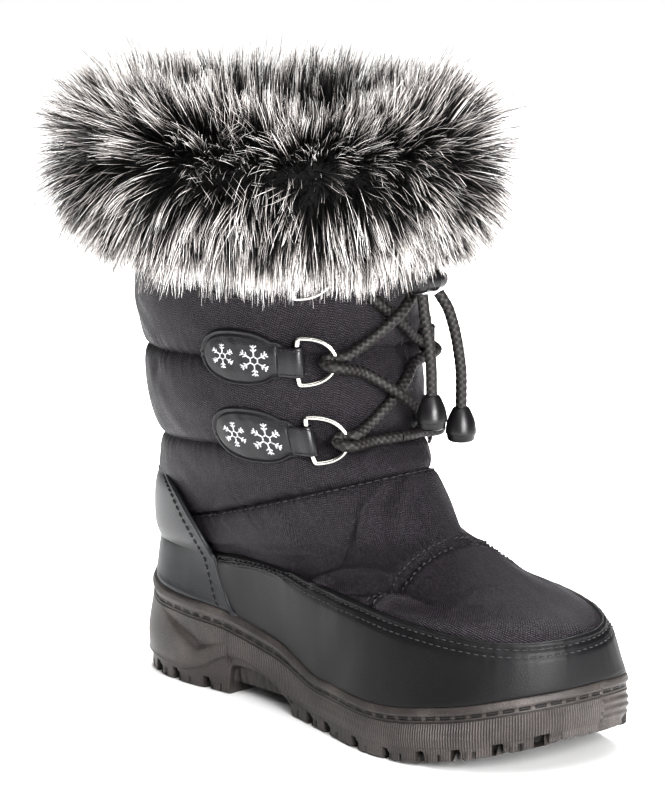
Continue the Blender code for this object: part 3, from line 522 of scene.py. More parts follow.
# Upper: quilted black twill nylon over thin wadding, lined, sewn in panels. Three seams run round
# the shaft and ankle and one crosses the vamp; its edge is lasted into the sole's cup.
COLLAR_HEIGHT = 0.250
SECTIONS = np.array([
    # back_x, back_z, front_x, front_z, heel, fore, sole, bump, lift
    (0.020, 0.120, 0.980, 0.110, 0.340, 0.480, 1.00, 0.000, 1.00),
    (0.020, 0.190, 0.980, 0.155, 0.340, 0.480, 1.00, 0.000, 1.00),
    (0.002, 0.220, 0.966, 0.236, 0.380, 0.455, 0.45, 0.036, 1.00),
    (0.002, 0.228, 0.938, 0.262, 0.385, 0.415, 0.20, 0.028, 1.00),
    (0.002, 0.236, 0.892, 0.280, 0.390, 0.390, 0.05, 0.020, 1.00),
    (0.002, 0.244, 0.822, 0.306, 0.395, 0.385, 0.00, 0.012, 1.00),
    (0.003, 0.252, 0.752, 0.332, 0.400, 0.395, 0.00, 0.006, 1.10),
    (0.004, 0.260, 0.684, 0.358, 0.405, 0.405, 0.00, 0.000, 1.20),
    (0.005, 0.270, 0.638, 0.412, 0.415, 0.420, 0.00, 0.000, 1.30),
    (0.007, 0.284, 0.600, 0.468, 0.422, 0.440, 0.00, 0.000, 1.35),
    (0.015, 0.376, 0.570, 0.492, 0.440, 0.470, 0.00, 0.000, 1.20),
    (0.022, 0.448, 0.549, 0.516, 0.466, 0.495, 0.00, 0.000, 1.00),
    (0.009, 0.536, 0.540, 0.596, 0.515, 0.534, 0.00, 0.000, 1.00),
    (0.002, 0.624, 0.530, 0.672, 0.534, 0.544, 0.00, 0.000, 1.00),
    (-0.008, 0.720, 0.530, 0.760, 0.563, 0.563, 0.00, 0.000, 1.00),
    (-0.008, 0.848, 0.530, 0.864, 0.573, 0.573, 0.00, 0.000, 1.00),
    (-0.008, 1.000, 0.530, 1.000, 0.573, 0.573, 0.00, 0.000, 1.00),
])
ANKLE_SEAM, LOWER_SEAM, UPPER_SEAM = 9, 11, 13
FRONT_SEAM_TURN = 0.552
CREASES = np.array([
    # turn, level, lean in degrees from level lines, half length, half width, rise in metres
    (0.318, 4.9, 16, 0.0240, 0.0030, 0.0040),
    (0.325, 3.9, 14, 0.0200, 0.0026, -0.0034),
    (0.334, 3.1, 20, 0.0130, 0.0022, 0.0029),
    (0.350, 4.6, 24, 0.0110, 0.0020, -0.0016),
    (0.300, 5.9, 14, 0.0230, 0.0036, -0.0012),
    (0.372, 7.4, 62, 0.0130, 0.0024, -0.0014),
    (0.395, 7.9, 66, 0.0120, 0.0024, 0.0023),
    (0.425, 8.1, 72, 0.0140, 0.0030, -0.0018),
    (0.448, 8.0, 78, 0.0130, 0.0028, 0.0024),
    (0.478, 8.2, 82, 0.0120, 0.0026, -0.0014),
    (0.395, 13.6, 38, 0.0075, 0.0020, -0.0016),
    (0.404, 13.9, 20, 0.0060, 0.0017, 0.0010),
    (0.180, 12.6, 70, 0.0110, 0.0030, -0.0008),
    (0.120, 10.6, 40, 0.0150, 0.0034, -0.0009),
    (0.260, 9.7, 12, 0.0190, 0.0030, -0.0010),
    (0.465, 10.6, 20, 0.0100, 0.0024, 0.0010),
    (0.430, 4.6, 40, 0.0160, 0.0040, 0.0009),
    (0.560, 6.6, 45, 0.0170, 0.0034, -0.0012),
    (0.640, 5.0, 12, 0.0240, 0.0034, 0.0015),
    (0.700, 8.0, 30, 0.0170, 0.0030, -0.0012),
    (0.800, 12.4, 60, 0.0120, 0.0030, -0.0009),
])


def bare_upper(level, turn):
    """Closed section of the upper at each level: x and y follow the sole's outline low down and
    an oval above, and z climbs from back to front."""
    columns = [smooth(np.arange(len(SECTIONS)), values, level) for values in SECTIONS.T]
    back_x, back_z, front_x, front_z, heel, fore, sole, bump, lift = columns
    share = along_share(turn)
    across = np.sin(2 * np.pi * turn)
    half = BALL_WIDTH * (heel + (fore - heel) * ease(0.15, 0.75, share))
    own_x = SOLE_LENGTH * (back_x + (front_x - back_x) * share) - HEEL_CENTRE
    own_y = -np.sign(across) * half * np.abs(across) ** (1 - 0.2 * sole)
    on_sole = outline(turn, np.full_like(share, CUP_INSET + 0.0003))
    x = sole * on_sole[..., 0] + (1 - sole) * own_x
    y = sole * on_sole[..., 1] + (1 - sole) * own_y
    own_z = COLLAR_HEIGHT * (back_z + (front_z - back_z) * share ** lift + bump * across ** 2)
    seat = floor_height(share) + 0.0003
    sole_z = seat + (rim_height(share) - seat) * np.clip(level, 0.0, 1.0)
    follow = 1 - ease(1, 2, level)
    return np.stack([x, y, follow * sole_z + (1 - follow) * own_z], -1)


def face_of(level, turn):
    """Point, outward normal and metres per level of the upper's smooth face."""
    level, turn = np.broadcast_arrays(np.asarray(level, float), np.asarray(turn, float))
    here = bare_upper(level, turn)
    around = bare_upper(level, turn + 0.004) - bare_upper(level, turn - 0.004)
    above, below = np.minimum(level + 0.05, 16), np.maximum(level - 0.05, 0)
    rise = bare_upper(above, turn) - bare_upper(below, turn)
    normal = unit(np.cross(around, rise))
    return here, normal, np.linalg.norm(rise, axis=-1) / (above - below)


def vamp_seam(y):
    """x of the vamp seam, which bows forwards in the middle of the foot."""
    return 0.1585 - 3.2 * y * y


def fade(value, length):
    """exp(-|value| / length): a sharp crest at 0."""
    return np.exp(-np.abs(value) / length)


def ripple(run, lengths, seed):
    """Sum of sines of these wavelengths with phases of their own, from -1 to 1."""
    rng = np.random.default_rng(seed)
    total = 0
    for length in lengths:
        phase = 2 * np.pi * (run / length + rng.uniform())
        total = total + np.sin(phase + 1.1 * np.sin(run / length * 2.3))
    return total / len(lengths)


def upper_relief(level, turn, here, pace):
    """Metres the nylon stands off the smooth face: swells between seams, dips at them, puckers
    across them, and the creases of the table."""
    run = turn * 0.36
    relief = 0.0
    low = ease(1.0, 2.0, level)
    foot = level < ANKLE_SEAM
    for seam, wide in ((ANKLE_SEAM, 0.0022), (LOWER_SEAM, 0.0026), (UPPER_SEAM, 0.0026)):
        off = (level - seam) * pace
        relief = relief - 0.0030 * fade(off, wide) * low
        fold = np.abs(ripple(run + 0.15 * off, (0.0083, 0.0127, 0.0061), seam))
        amount = 0.0016 if seam == ANKLE_SEAM else 0.0009
        relief = relief + amount * (fold - 0.4) * fade(off, 0.0055)
    across = here[..., 0] - vamp_seam(here[..., 1])
    on_vamp = foot * ease(1.6, 2.2, level)
    relief = relief - 0.0034 * fade(across, 0.0019) * on_vamp
    relief = relief + 0.0008 * hump(np.abs(across), 0.0050, 0.0022) * on_vamp
    side = here[..., 1] + 0.6 * here[..., 2]
    fold = np.abs(ripple(side + 0.4 * across, (0.0079, 0.0117, 0.0056), 3))
    relief = relief + 0.0017 * (fold - 0.35) * fade(across, 0.0060) * on_vamp
    front = (turn - FRONT_SEAM_TURN) * 0.34
    above = ease(ANKLE_SEAM + 0.3, ANKLE_SEAM + 1, level)
    relief = relief - 0.0017 * fade(front, 0.0018) * above
    fold = ripple(here[..., 2] + front, (0.0092, 0.0141), 8)
    relief = relief + 0.0006 * fold * fade(front, 0.006) * above
    # Swell of each panel, and slow unevenness of the wadding.
    for first, last, swell in ((9, 11, 0.0007), (11, 13, 0.0011), (13, 16, 0.0009)):
        share = np.clip((level - first) / (last - first), 0, 1)
        relief = relief + swell * np.sin(np.pi * share)
    slow = ripple(here[..., 0] + 0.5 * here[..., 2], (0.031, 0.047), 5)
    slow = slow * ripple(here[..., 2] - 0.7 * here[..., 1], (0.037, 0.026), 6)
    relief = relief + 0.00055 * slow * ease(2.0, 4.0, level)
    for at, height, lean, long, wide, rise in CREASES:
        spot, normal, _ = face_of(height, at)
        ahead = unit(bare_upper(height, at + 0.004) - bare_upper(height, at - 0.004))
        up = np.cross(normal, ahead)
        way = np.cos(np.radians(lean)) * ahead + np.sin(np.radians(lean)) * up
        cross = np.cross(normal, way)
        from_it = here - spot
        u, v = from_it @ way, from_it @ cross
        v = v + 0.25 * u * u / long
        near = np.abs(from_it @ normal) < 0.02
        relief = relief + rise * np.exp(-((u / long) ** 2) - (v / wide) ** 2) * near
    return relief * low


def shell(level, turn, out=0.0):
    """Points on the nylon, or metres out of it, and its smooth face's normals."""
    here, normal, pace = face_of(level, turn)
    level, turn = np.broadcast_arrays(np.asarray(level, float), np.asarray(turn, float))
    return here + (upper_relief(level, turn, here, pace) + out)[..., None] * normal, normal


def twill_nylon():
    """Woven nylon, calendered: two families of lines 1.1 and 1.2 mm apart, drawn twice as coarse as they are
    so that they show at this size. The raised yarns' shine is painted into the colour as pale glints, and
    the gaps are painted black as shade."""
    made, tree = new_material("quilted_nylon")
    parts = add_node(tree, "SeparateXYZ", add_node(tree, "UVMap", uv_map="cloth"))
    x, y = parts.outputs["X"], parts.outputs["Y"]
    steep = add_node(tree, "Math MULTIPLY_ADD", x, 0.75, y)
    flat = add_node(tree, "Math MULTIPLY_ADD", y, -0.35, x)
    line = add_node(tree, "Math SINE", add_node(tree, "Math MULTIPLY", steep, 2 * np.pi / 0.00120))
    other = add_node(tree, "Math SINE", add_node(tree, "Math MULTIPLY", flat, 2 * np.pi / 0.00110))
    dots = add_node(tree, "Math MULTIPLY", line, other)
    weave = add_node(tree, "Math MULTIPLY_ADD", dots, 0.65, add_node(tree, "Math MULTIPLY", line, 0.5))
    place = add_node(tree, "TexCoord").outputs["Object"]
    cloud = add_node(tree, "TexNoise", {"Vector": place, "Scale": 60.0, "Detail": 4.0})
    fine = add_node(tree, "TexNoise", {"Vector": place, "Scale": 900.0, "Detail": 2.0})
    value = add_node(tree, "Math MULTIPLY_ADD", fine, 0.4, 0.28)
    value = add_node(tree, "Math MULTIPLY_ADD", weave, 0.26, value)
    # Painted highlight and shade: the weave's raised yarns get pale glint colour and its gaps near black.
    tone = add_node(tree, "ValToRGB", value, stops=[(0.22, "#050305"), (0.47, "#0c080c"), (0.76, "#544d56")])
    height = add_node(tree, "Math MULTIPLY_ADD", weave, 0.6, add_node(tree, "Math MULTIPLY", fine, 0.5))
    bump = add_node(tree, "Bump", {"Height": height, "Distance": 0.00045, "Strength": 0.9})
    rough = add_node(tree, "Math MULTIPLY_ADD", cloud, 0.22, 0.37)
    finish_shader(tree, Base_Color=tone, Roughness=rough, Normal=bump, Specular_IOR_Level=0.32)
    return made


def grained(name, scale, detail, stops, depth, strength=1.0, **inputs):
    """Material whose colour and relief both follow one noise, of this scale a metre."""
    made, tree = new_material(name)
    place = add_node(tree, "TexCoord").outputs["Object"]
    grain = add_node(tree, "TexNoise", {"Vector": place, "Scale": scale, "Detail": detail})
    tone = add_node(tree, "ValToRGB", grain, stops=stops)
    bump = add_node(tree, "Bump", {"Height": grain, "Distance": depth, "Strength": strength})
    finish_shader(tree, Base_Color=tone, Normal=bump, **inputs)
    return made


def lining():
    """Brushed knitted polyester: its nap of about 2 mm takes all the shine away."""
    return grained("pile_lining", 420.0, 4.0, [(0.3, "#161516"), (0.7, "#2d2b2d")], 0.0012,
                   Roughness=0.95)


def cloth_uv(grid):
    """Metres round and up the cloth, taken along the grid's own rows and columns."""
    step = np.linalg.norm(np.diff(grid, axis=1, append=grid[:, :1]), axis=2)
    around = np.cumsum(step, axis=1) - step
    around = np.mean(around, axis=0, keepdims=True) + 0 * around
    rise = np.linalg.norm(np.diff(grid, axis=0, prepend=grid[:1]), axis=2)
    return np.dstack([around, np.cumsum(rise, axis=0)])


def dense_levels(first, last, count, seams):
    """Levels from first to last, closer together near the seams."""
    fine = np.linspace(first, last, 2001)
    weight = 1 + sum(3.0 * hump(fine, s, 0.16) for s in seams)
    run = np.concatenate([[0], np.cumsum((weight[1:] + weight[:-1]) / 2)])
    return np.interp(np.linspace(0, run[-1], count), run, fine)


def add_upper():
    """Vamp, shaft and lining as grids of levels by turns. The lining stands 4 mm inside the
    smooth face, with its top row folded out to the collar's edge."""
    nylon = twill_nylon()
    turn = np.arange(440) / 440
    foot = dense_levels(0.6, ANKLE_SEAM, 105, (ANKLE_SEAM,))
    grid, _ = shell(foot[:, None], turn[None, :])
    mesh = make_mesh("upper_vamp", grid, grid_faces(*grid.shape[:2]), cloth=cloth_uv(grid))
    add_object("upper_vamp", mesh, nylon, ["upper"])
    leg = dense_levels(ANKLE_SEAM, 15.4, 118, (ANKLE_SEAM, LOWER_SEAM, UPPER_SEAM))
    grid, _ = shell(leg[:, None], turn[None, :])
    mesh = make_mesh("upper_shaft", grid, grid_faces(*grid.shape[:2]), cloth=cloth_uv(grid))
    add_object("upper_shaft", mesh, nylon, ["upper"])
    turn = np.arange(120) / 120
    inside = np.linspace(16, 0.1, 60)
    here, normal, _ = face_of(inside[:, None], turn[None, :])
    grid = here - 0.0040 * normal
    rim, rim_normal, _ = face_of(np.full(120, 16.0), turn)
    grid = np.concatenate([(rim - 0.0003 * rim_normal)[None], grid])
    mesh = make_mesh("upper_lining", grid, grid_faces(*grid.shape[:2]))
    add_object("upper_lining", mesh, lining(), ["upper"])


add_upper()


# Stitches: twisted polyester thread, sewn through every seam and sunk at both ends of each
# stitch. Its plies, about 0.5 mm long to the eye, glint a little.
THREAD = grained("sewing_thread", 1800.0, 2.0, [(0.3, "#121112"), (0.7, "#3f3c3f")], 0.0002,
                 Roughness=0.55)


def stitch_row(points, normals, pitch, length, width):
    """Small spindles along a line: at share s of a stitch its radius is w sin(pi s)^0.4 and its
    middle is lifted by 0.6 w sin(pi s)."""
    run = run_along(points)
    starts = np.arange(0.3 * pitch, run[-1] - length, pitch)
    shares = np.array([0.0, 0.18, 0.5, 0.82, 1.0])
    where = starts[:, None] + length * shares[None, :]
    middle = np.stack([np.interp(where, run, points[:, i]) for i in range(3)], -1)
    normal = unit(np.stack([np.interp(where, run, normals[:, i]) for i in range(3)], -1))
    side = np.cross(normal, unit(middle[:, -1:] - middle[:, :1]))
    swell = np.sin(np.pi * np.clip(shares, 0.04, 0.96)) ** 0.4
    middle = middle + (0.6 * width * np.sin(np.pi * shares))[None, :, None] * normal
    angle = (2 * np.pi * np.arange(5) / 5)[:, None]
    ring = np.cos(angle) * side[:, :, None, :] + np.sin(angle) * normal[:, :, None, :]
    grid = middle[:, :, None, :] + width / 2 * swell[None, :, None, None] * ring
    each = grid_faces(5, 5)
    faces = (each[None] + 25 * np.arange(len(starts))[:, None, None]).reshape(-1, 4)
    return grid.reshape(-1, 3), faces


def join_rows(rows):
    """Points and faces of several meshes as those of one."""
    points, faces, start = [], [], 0
    for row_points, row_faces in rows:
        points.append(row_points)
        faces.append(row_faces + start)
        start += len(row_points)
    return np.concatenate(points), np.concatenate(faces)


def add_upper_stitches():
    """One row under the ankle seam, two on either side of the vamp and one up the shin."""
    rows = []
    turn = np.linspace(0.185, 0.815, 900)
    points, normals = shell(np.full_like(turn, ANKLE_SEAM - 0.13), turn, 0.0002)
    rows.append(stitch_row(points, normals, 0.0040, 0.0030, 0.0008))
    # Vamp seam: two rows just behind and before the line where the panels meet.
    levels = np.linspace(2.02, 7.6, 260)
    for shift in (-0.0030, 0.0030):
        for side in (1, -1):
            turns = np.linspace(0.02, 0.5, 400)
            line = []
            for level in levels:
                here = bare_upper(np.full_like(turns, level), turns)
                past = here[:, 0] - vamp_seam(here[:, 1])
                if past[-1] > shift:
                    line.append((level, np.interp(shift, past, turns)))
            line = np.array(line)
            at = line[:, 1] if side > 0 else 1 - line[:, 1]
            points, normals = shell(line[:, 0], at, 0.0003)
            rows.append(stitch_row(points, normals, 0.0034, 0.0026, 0.0010))
    level = np.linspace(ANKLE_SEAM + 0.4, 14.5, 500)
    points, normals = shell(level, np.full_like(level, FRONT_SEAM_TURN - 0.009), 0.0002)
    rows.append(stitch_row(points, normals, 0.0040, 0.0030, 0.0007))
    points, faces = join_rows(rows)
    add_object("upper_stitches", make_mesh("upper_stitches", points, faces), THREAD)


add_upper_stitches()


# Insole: flat felt-covered foam, die-cut and laid loose in the cup. The frame's own solid is
# kept, and only gets its material here.
def add_insole_finish():
    """Felted fibres scatter the light, so the insole is matt and a little mottled."""
    felt = grained("insole_felt", 600.0, 3.0, [(0.3, "#232122"), (0.7, "#3d3b3c")], 0.0006,
                   Roughness=0.95)
    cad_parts["insole"].data.materials.clear()
    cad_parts["insole"].data.materials.append(felt)


add_insole_finish()


# Mudguard: satin coated fabric round the toe and both sides, sewn over the nylon with two rows
# of stitches under its folded upper edge, and cemented into the sole's cup below.
COUNTER_EDGE = np.array([
    # level, turn
    (1.0, 0.186),
    (1.5, 0.178),
    (2.0, 0.172),
    (4.0, 0.178),
    (6.0, 0.197),
    (7.3, 0.2085),
    (8.5, 0.2105),
    (9.4, 0.2000),
    (9.8, 0.1770),
    (10.0, 0.1560),
    (10.12, 0.1150),
    (10.20, 0.0500),
])
COUNTER_TOP = 10.20
GUARD_TOP = np.array([
    # turn, level
    (0.160, 3.90),
    (0.175, 3.90),
    (0.190, 4.20),
    (0.204, 4.45),
    (0.225, 4.20),
    (0.240, 3.25),
    (0.262, 2.35),
    (0.288, 2.03),
    (0.314, 1.94),
    (0.338, 1.90),
    (0.399, 1.86),
    (0.432, 1.89),
    (0.473, 1.98),
    (0.502, 2.06),
    (0.556, 2.08),
    (0.640, 2.02),
    (0.712, 2.03),
    (0.745, 2.60),
    (0.775, 4.00),
    (0.800, 4.20),
    (0.840, 3.90),
])
FIRST_ROW, SECOND_ROW = 0.0024, 0.0056


def coated_fabric(name, dark, light, rough):
    """Knitted polyester with a polyurethane coat, pressed with grains of 1 mm: satin, with a soft
    wide highlight broken up by the grain."""
    made, tree = new_material(name)
    place = add_node(tree, "TexCoord").outputs["Object"]
    grain = add_node(tree, "TexVoronoi", {"Vector": place, "Scale": 950.0},
                     feature="DISTANCE_TO_EDGE")
    cloud = add_node(tree, "TexNoise", {"Vector": place, "Scale": 38.0, "Detail": 5.0})
    tone = add_node(tree, "ValToRGB", cloud, stops=[(0.35, dark), (0.68, light)])
    height = add_node(tree, "Math MULTIPLY_ADD", grain.outputs["Distance"], 1.6, cloud)
    bump = add_node(tree, "Bump", {"Height": height, "Distance": 0.00018, "Strength": 0.4})
    finish_shader(tree, Base_Color=tone, Roughness=rough, Normal=bump, Specular_IOR_Level=0.33)
    return made


def counter_edge(level):
    """Half turn at which the counter's front edge lies at a level."""
    return smooth(COUNTER_EDGE[:, 0], COUNTER_EDGE[:, 1], np.asarray(level, float))


def add_mudguard():
    """Rows run from under the rim to the top edge at each turn. A point stands off the smooth face
    by the cloth's thickness, a bead at its folded top, a furrow under each row of stitches, small
    puckers and a slow puff, and at least 0.5 mm over the nylon. Under the counter it lies lower."""
    finish = coated_fabric("mudguard_coating", "#09080a", "#121113", 0.48)
    turn = np.linspace(GUARD_TOP[0, 0], GUARD_TOP[-1, 0], 500)
    top = smooth(GUARD_TOP[:, 0], GUARD_TOP[:, 1], turn)
    shares = 1 - (1 - np.linspace(0, 1, 40)) ** 1.25
    level = 0.80 + shares[:, None] * (top[None, :] - 0.80)
    here, normal, pace = face_of(level, turn[None, :])
    rise = np.maximum(upper_relief(level, turn[None, :] + 0 * level, here, pace), 0.0)
    fold = np.linalg.norm(np.diff(here, axis=0, append=here[-1:]), axis=-1)
    fold = np.cumsum(fold[::-1], axis=0)[::-1]
    lift = 0.0026 * ease(0.80, 1.02, level) * (0.5 + 0.5 * ease(0.0, 0.007, fold)) + 0.0002
    lift = lift + 0.0004 * hump(fold, 0.0008, 0.0010)
    lift = lift - 0.0005 * hump(fold, FIRST_ROW, 0.0009)
    lift = lift - 0.0005 * hump(fold, SECOND_ROW, 0.0010)
    pucker = ripple(turn * 0.6 + 0 * level, (0.013, 0.021, 0.0075), 12)
    lift = lift + 0.00018 * pucker * np.exp(-fold / 0.010)
    lift = lift + 0.0007 * np.sin(np.pi * np.clip(shares, 0, 1))[:, None]
    slow = ripple(here[..., 0] - 0.6 * here[..., 2], (0.041, 0.067), 31)
    lift = lift + 0.0004 * slow * ease(0.9, 1.3, level)
    lift = np.maximum(lift, rise + 0.0005)
    side = np.minimum(turn, 1 - turn)[None, :]
    lift = lift - 0.0024 * ease(0.002, 0.010, counter_edge(np.maximum(level, 1.0)) - side)
    rows = list(here + lift[..., None] * normal)
    for up, out in ((0.0004, -0.0004), (0.0005, -0.0012), (0.0005, -0.0030)):
        rows.append(here[-1] + (lift[-1] + out)[:, None] * normal[-1] + [0.0, 0.0, up])
    grid = np.array(rows)
    mesh = make_mesh("mudguard_band", grid, grid_faces(*grid.shape[:2], False, False))
    add_object("mudguard_band", mesh, finish, ["mudguard"])
    lines = []
    for down in (FIRST_ROW, SECOND_ROW):
        row = np.array([np.interp(-down, -fold[:, k], np.arange(40)) for k in range(len(turn))])
        first = np.clip(row.astype(int), 0, 38)
        part = (row - first)[:, None]
        spot = np.arange(len(turn))
        points = grid[first, spot] * (1 - part) + grid[first + 1, spot] * part
        facing = normal[first, spot] * (1 - part) + normal[first + 1, spot] * part
        lines.append(stitch_row(points - 0.0001 * facing, facing, 0.0036, 0.0025, 0.0008))
    points, faces = join_rows(lines)
    add_object("mudguard_stitches", make_mesh("mudguard_stitches", points, faces), THREAD)


add_mudguard()


# Heel counter: stiffer coated fabric round the back of the heel with a corded piping and one
# row of stitches along its front edge. It lies over the mudguard's ends.
def add_heel_counter():
    """Rows of levels by columns of turns on the smooth upper, moved out by the counter's own
    thickness, then averaged along each column so that the board in it bridges the hollows."""
    finish = coated_fabric("counter_coating", "#1e1f21", "#2a2b2e", 0.42)
    levels = np.concatenate([np.linspace(0.85, 9.0, 60), np.linspace(9.1, COUNTER_TOP, 22)])
    half = counter_edge(np.maximum(levels, 1.0))
    turn = half[:, None] * np.linspace(-1, 1, 150)[None, :]
    level = levels[:, None] + 0 * turn
    here, normal, pace = face_of(level, turn)
    relief = np.maximum(upper_relief(level, turn, here, pace), 0.0)
    lift = np.maximum(0.0031 * ease(0.85, 1.05, level) + 0.0002, relief + 0.0006)
    grid = here + lift[..., None] * normal
    for _ in range(40):
        grid[6:-1] += (grid[5:-2] - 2 * grid[6:-1] + grid[7:]) / 4
    over = grid[-1] - 0.0010 * normal[-1] + np.array([0.0, 0.0, 0.0006])
    inside = over - 0.0022 * normal[-1]
    closed = np.concatenate([grid, over[None], inside[None]])
    mesh = make_mesh("heel_counter_shell", closed, grid_faces(*closed.shape[:2], False, False))
    add_object("heel_counter_shell", mesh, finish, ["heel_counter"])

    def round_edge(values, rows, columns):
        """A line round the front edge, this many rows and columns inside it: up the one side,
        back along the top and down the other."""
        return np.concatenate([values[:-rows, -columns],
                               values[-rows - 1, -columns - 1 : columns : -1],
                               values[:-rows, columns - 1][::-1]])

    mesh = tube("counter_piping", round_edge(grid, 1, 1) - 0.0003 * round_edge(normal, 1, 1), 0.0011, 10)
    add_object("counter_piping", mesh, finish)
    row = stitch_row(round_edge(grid, 4, 6), round_edge(normal, 4, 6), 0.0036, 0.0026, 0.0008)
    mesh = make_mesh("counter_stitches", *row)
    add_object("counter_stitches", mesh, THREAD)


def tube(name, line, radius, sides, closed=False, **attributes):
    """Tube of this radius round a line of points, where radius may differ at each point of its
    surface. Its frame is carried along the line without twist."""
    if closed:
        ahead = unit(np.roll(line, -1, axis=0) - np.roll(line, 1, axis=0))
    else:
        ahead = unit(np.gradient(line, axis=0))
    normals = [unit(np.cross(ahead[0], [0.3, 0.2, 0.9]))]
    for way in ahead[1:]:
        normals.append(unit(normals[-1] - (normals[-1] @ way) * way))
    normals = np.array(normals)
    sideways = np.cross(ahead, normals)
    angle = (2 * np.pi * np.arange(sides) / sides)[None, :, None]
    ring = np.cos(angle) * normals[:, None] + np.sin(angle) * sideways[:, None]
    size = np.broadcast_to(radius, (len(line), sides))[..., None]
    faces = grid_faces(len(line), sides, closed)
    return make_mesh(name, line[:, None] + size * ring, faces, **attributes)


add_heel_counter()


# Cuff: long-pile fur fabric wrapped over the collar. Black roots, pale tips; it parts along the
# collar's edge, so that the lower pile hangs and the upper pile stands up and outwards.
PILE_LENGTH = 0.045
# Height at which hairs begin to lie over, and how far above it they can still reach.
PILE_BEND = 0.285
PILE_STAND = 0.0165
CUFF_FAN = np.array([
    # place over the backing, root out, root up, angle at the root, angle at the tip, length share
    (0.00, 0.0040, -0.0280, -78, -96, 0.50),
    (0.16, 0.0080, -0.0230, -64, -88, 0.70),
    (0.34, 0.0105, -0.0160, -42, -78, 0.90),
    (0.48, 0.0110, -0.0080, -16, -60, 1.00),
    (0.56, 0.0110, -0.0030, 8, -34, 1.02),
    (0.62, 0.0105, 0.0010, 30, 2, 1.00),
    (0.72, 0.0080, 0.0040, 50, 26, 1.00),
    (0.83, 0.0030, 0.0060, 72, 50, 0.95),
    (0.92, -0.0030, 0.0030, 94, 80, 0.80),
    (1.00, -0.0060, -0.0060, 116, 98, 0.55),
])
BACKING = (
    # out, up
    (0.0006, -0.030), (0.0070, -0.034), (0.0150, -0.030), (0.0205, -0.020),
    (0.0225, -0.008), (0.0200, 0.005), (0.0120, 0.015), (0.0020, 0.015),
    (-0.0060, 0.008), (-0.0072, -0.006), (-0.0058, -0.014), (-0.0006, -0.001),
)
# Places where the pile's outline is uneven.
TUFTS = np.array([
    # turn, place, half turn, share of length added, degrees added
    (0.215, 0.80, 0.035, 0.10, 12),
    (0.300, 0.86, 0.030, 0.08, 8),
    (0.420, 0.84, 0.045, -0.16, -10),
    (0.560, 0.80, 0.040, 0.16, 18),
    (0.640, 0.84, 0.050, 0.06, 6),
    (0.150, 0.62, 0.040, 0.08, 0),
    (0.640, 0.50, 0.060, 0.06, -6),
])


def collar_frame(turn):
    """Point on the collar's edge and the directions out of and along it."""
    top = np.full_like(turn, 16.0)
    edge = bare_upper(top, turn)
    way = unit(bare_upper(top, turn + 0.003) - bare_upper(top, turn - 0.003))
    outward = np.stack([way[..., 1], -way[..., 0], 0 * turn], -1)
    return edge, outward, way


def hair_path(turn, place, sway, reach, curl, shares):
    """Hair as a chain: at share t its angle over level is a + (b - a) t + curl t, and its heading
    is turned by sway from straight outwards. Also the point that the hair stands away from."""
    edge, outward, way = collar_frame(turn)
    root_out, root_up, first, last, length = [
        smooth(CUFF_FAN[:, 0], values, place) for values in CUFF_FAN[:, 1:].T
    ]
    for at, height, wide, more, lift in TUFTS:
        near = np.exp(-(((turn - at) / wide) ** 2) - ((place - height) / 0.14) ** 2)
        length, first, last = length + more * near, first + lift * near, last + lift * near
    # Over the lock the pile is shorter and lifted, so that the cord and its lock show.
    notch = (1 - ease(0.035, 0.070, np.abs(turn - 0.535))) * (place < 0.5)
    first, last = first + 22 * notch, last + 26 * notch
    up = np.array([0.0, 0.0, 1.0])
    points = [edge + root_out[:, None] * outward + root_up[:, None] * up]
    for t, step in zip(shares[1:], np.diff(shares)):
        angle = np.radians(first + (last - first) * t + curl * t)
        heading = sway * (0.4 + 0.6 * t)
        level = np.cos(heading)[:, None] * outward + np.sin(heading)[:, None] * way
        move = np.cos(angle)[:, None] * level + np.sin(angle)[:, None] * up
        points.append(points[-1] + (PILE_LENGTH * length * reach * step)[:, None] * move)
    points = np.stack(points, 1)
    # Hairs that stand highest lie over: their height above the bend follows a tanh.
    above = np.maximum(points[..., 2] - PILE_BEND, 0.0)
    points[..., 2] += PILE_STAND * np.tanh(above / PILE_STAND) - above
    return points, edge + 0.006 * outward - 0.012 * up


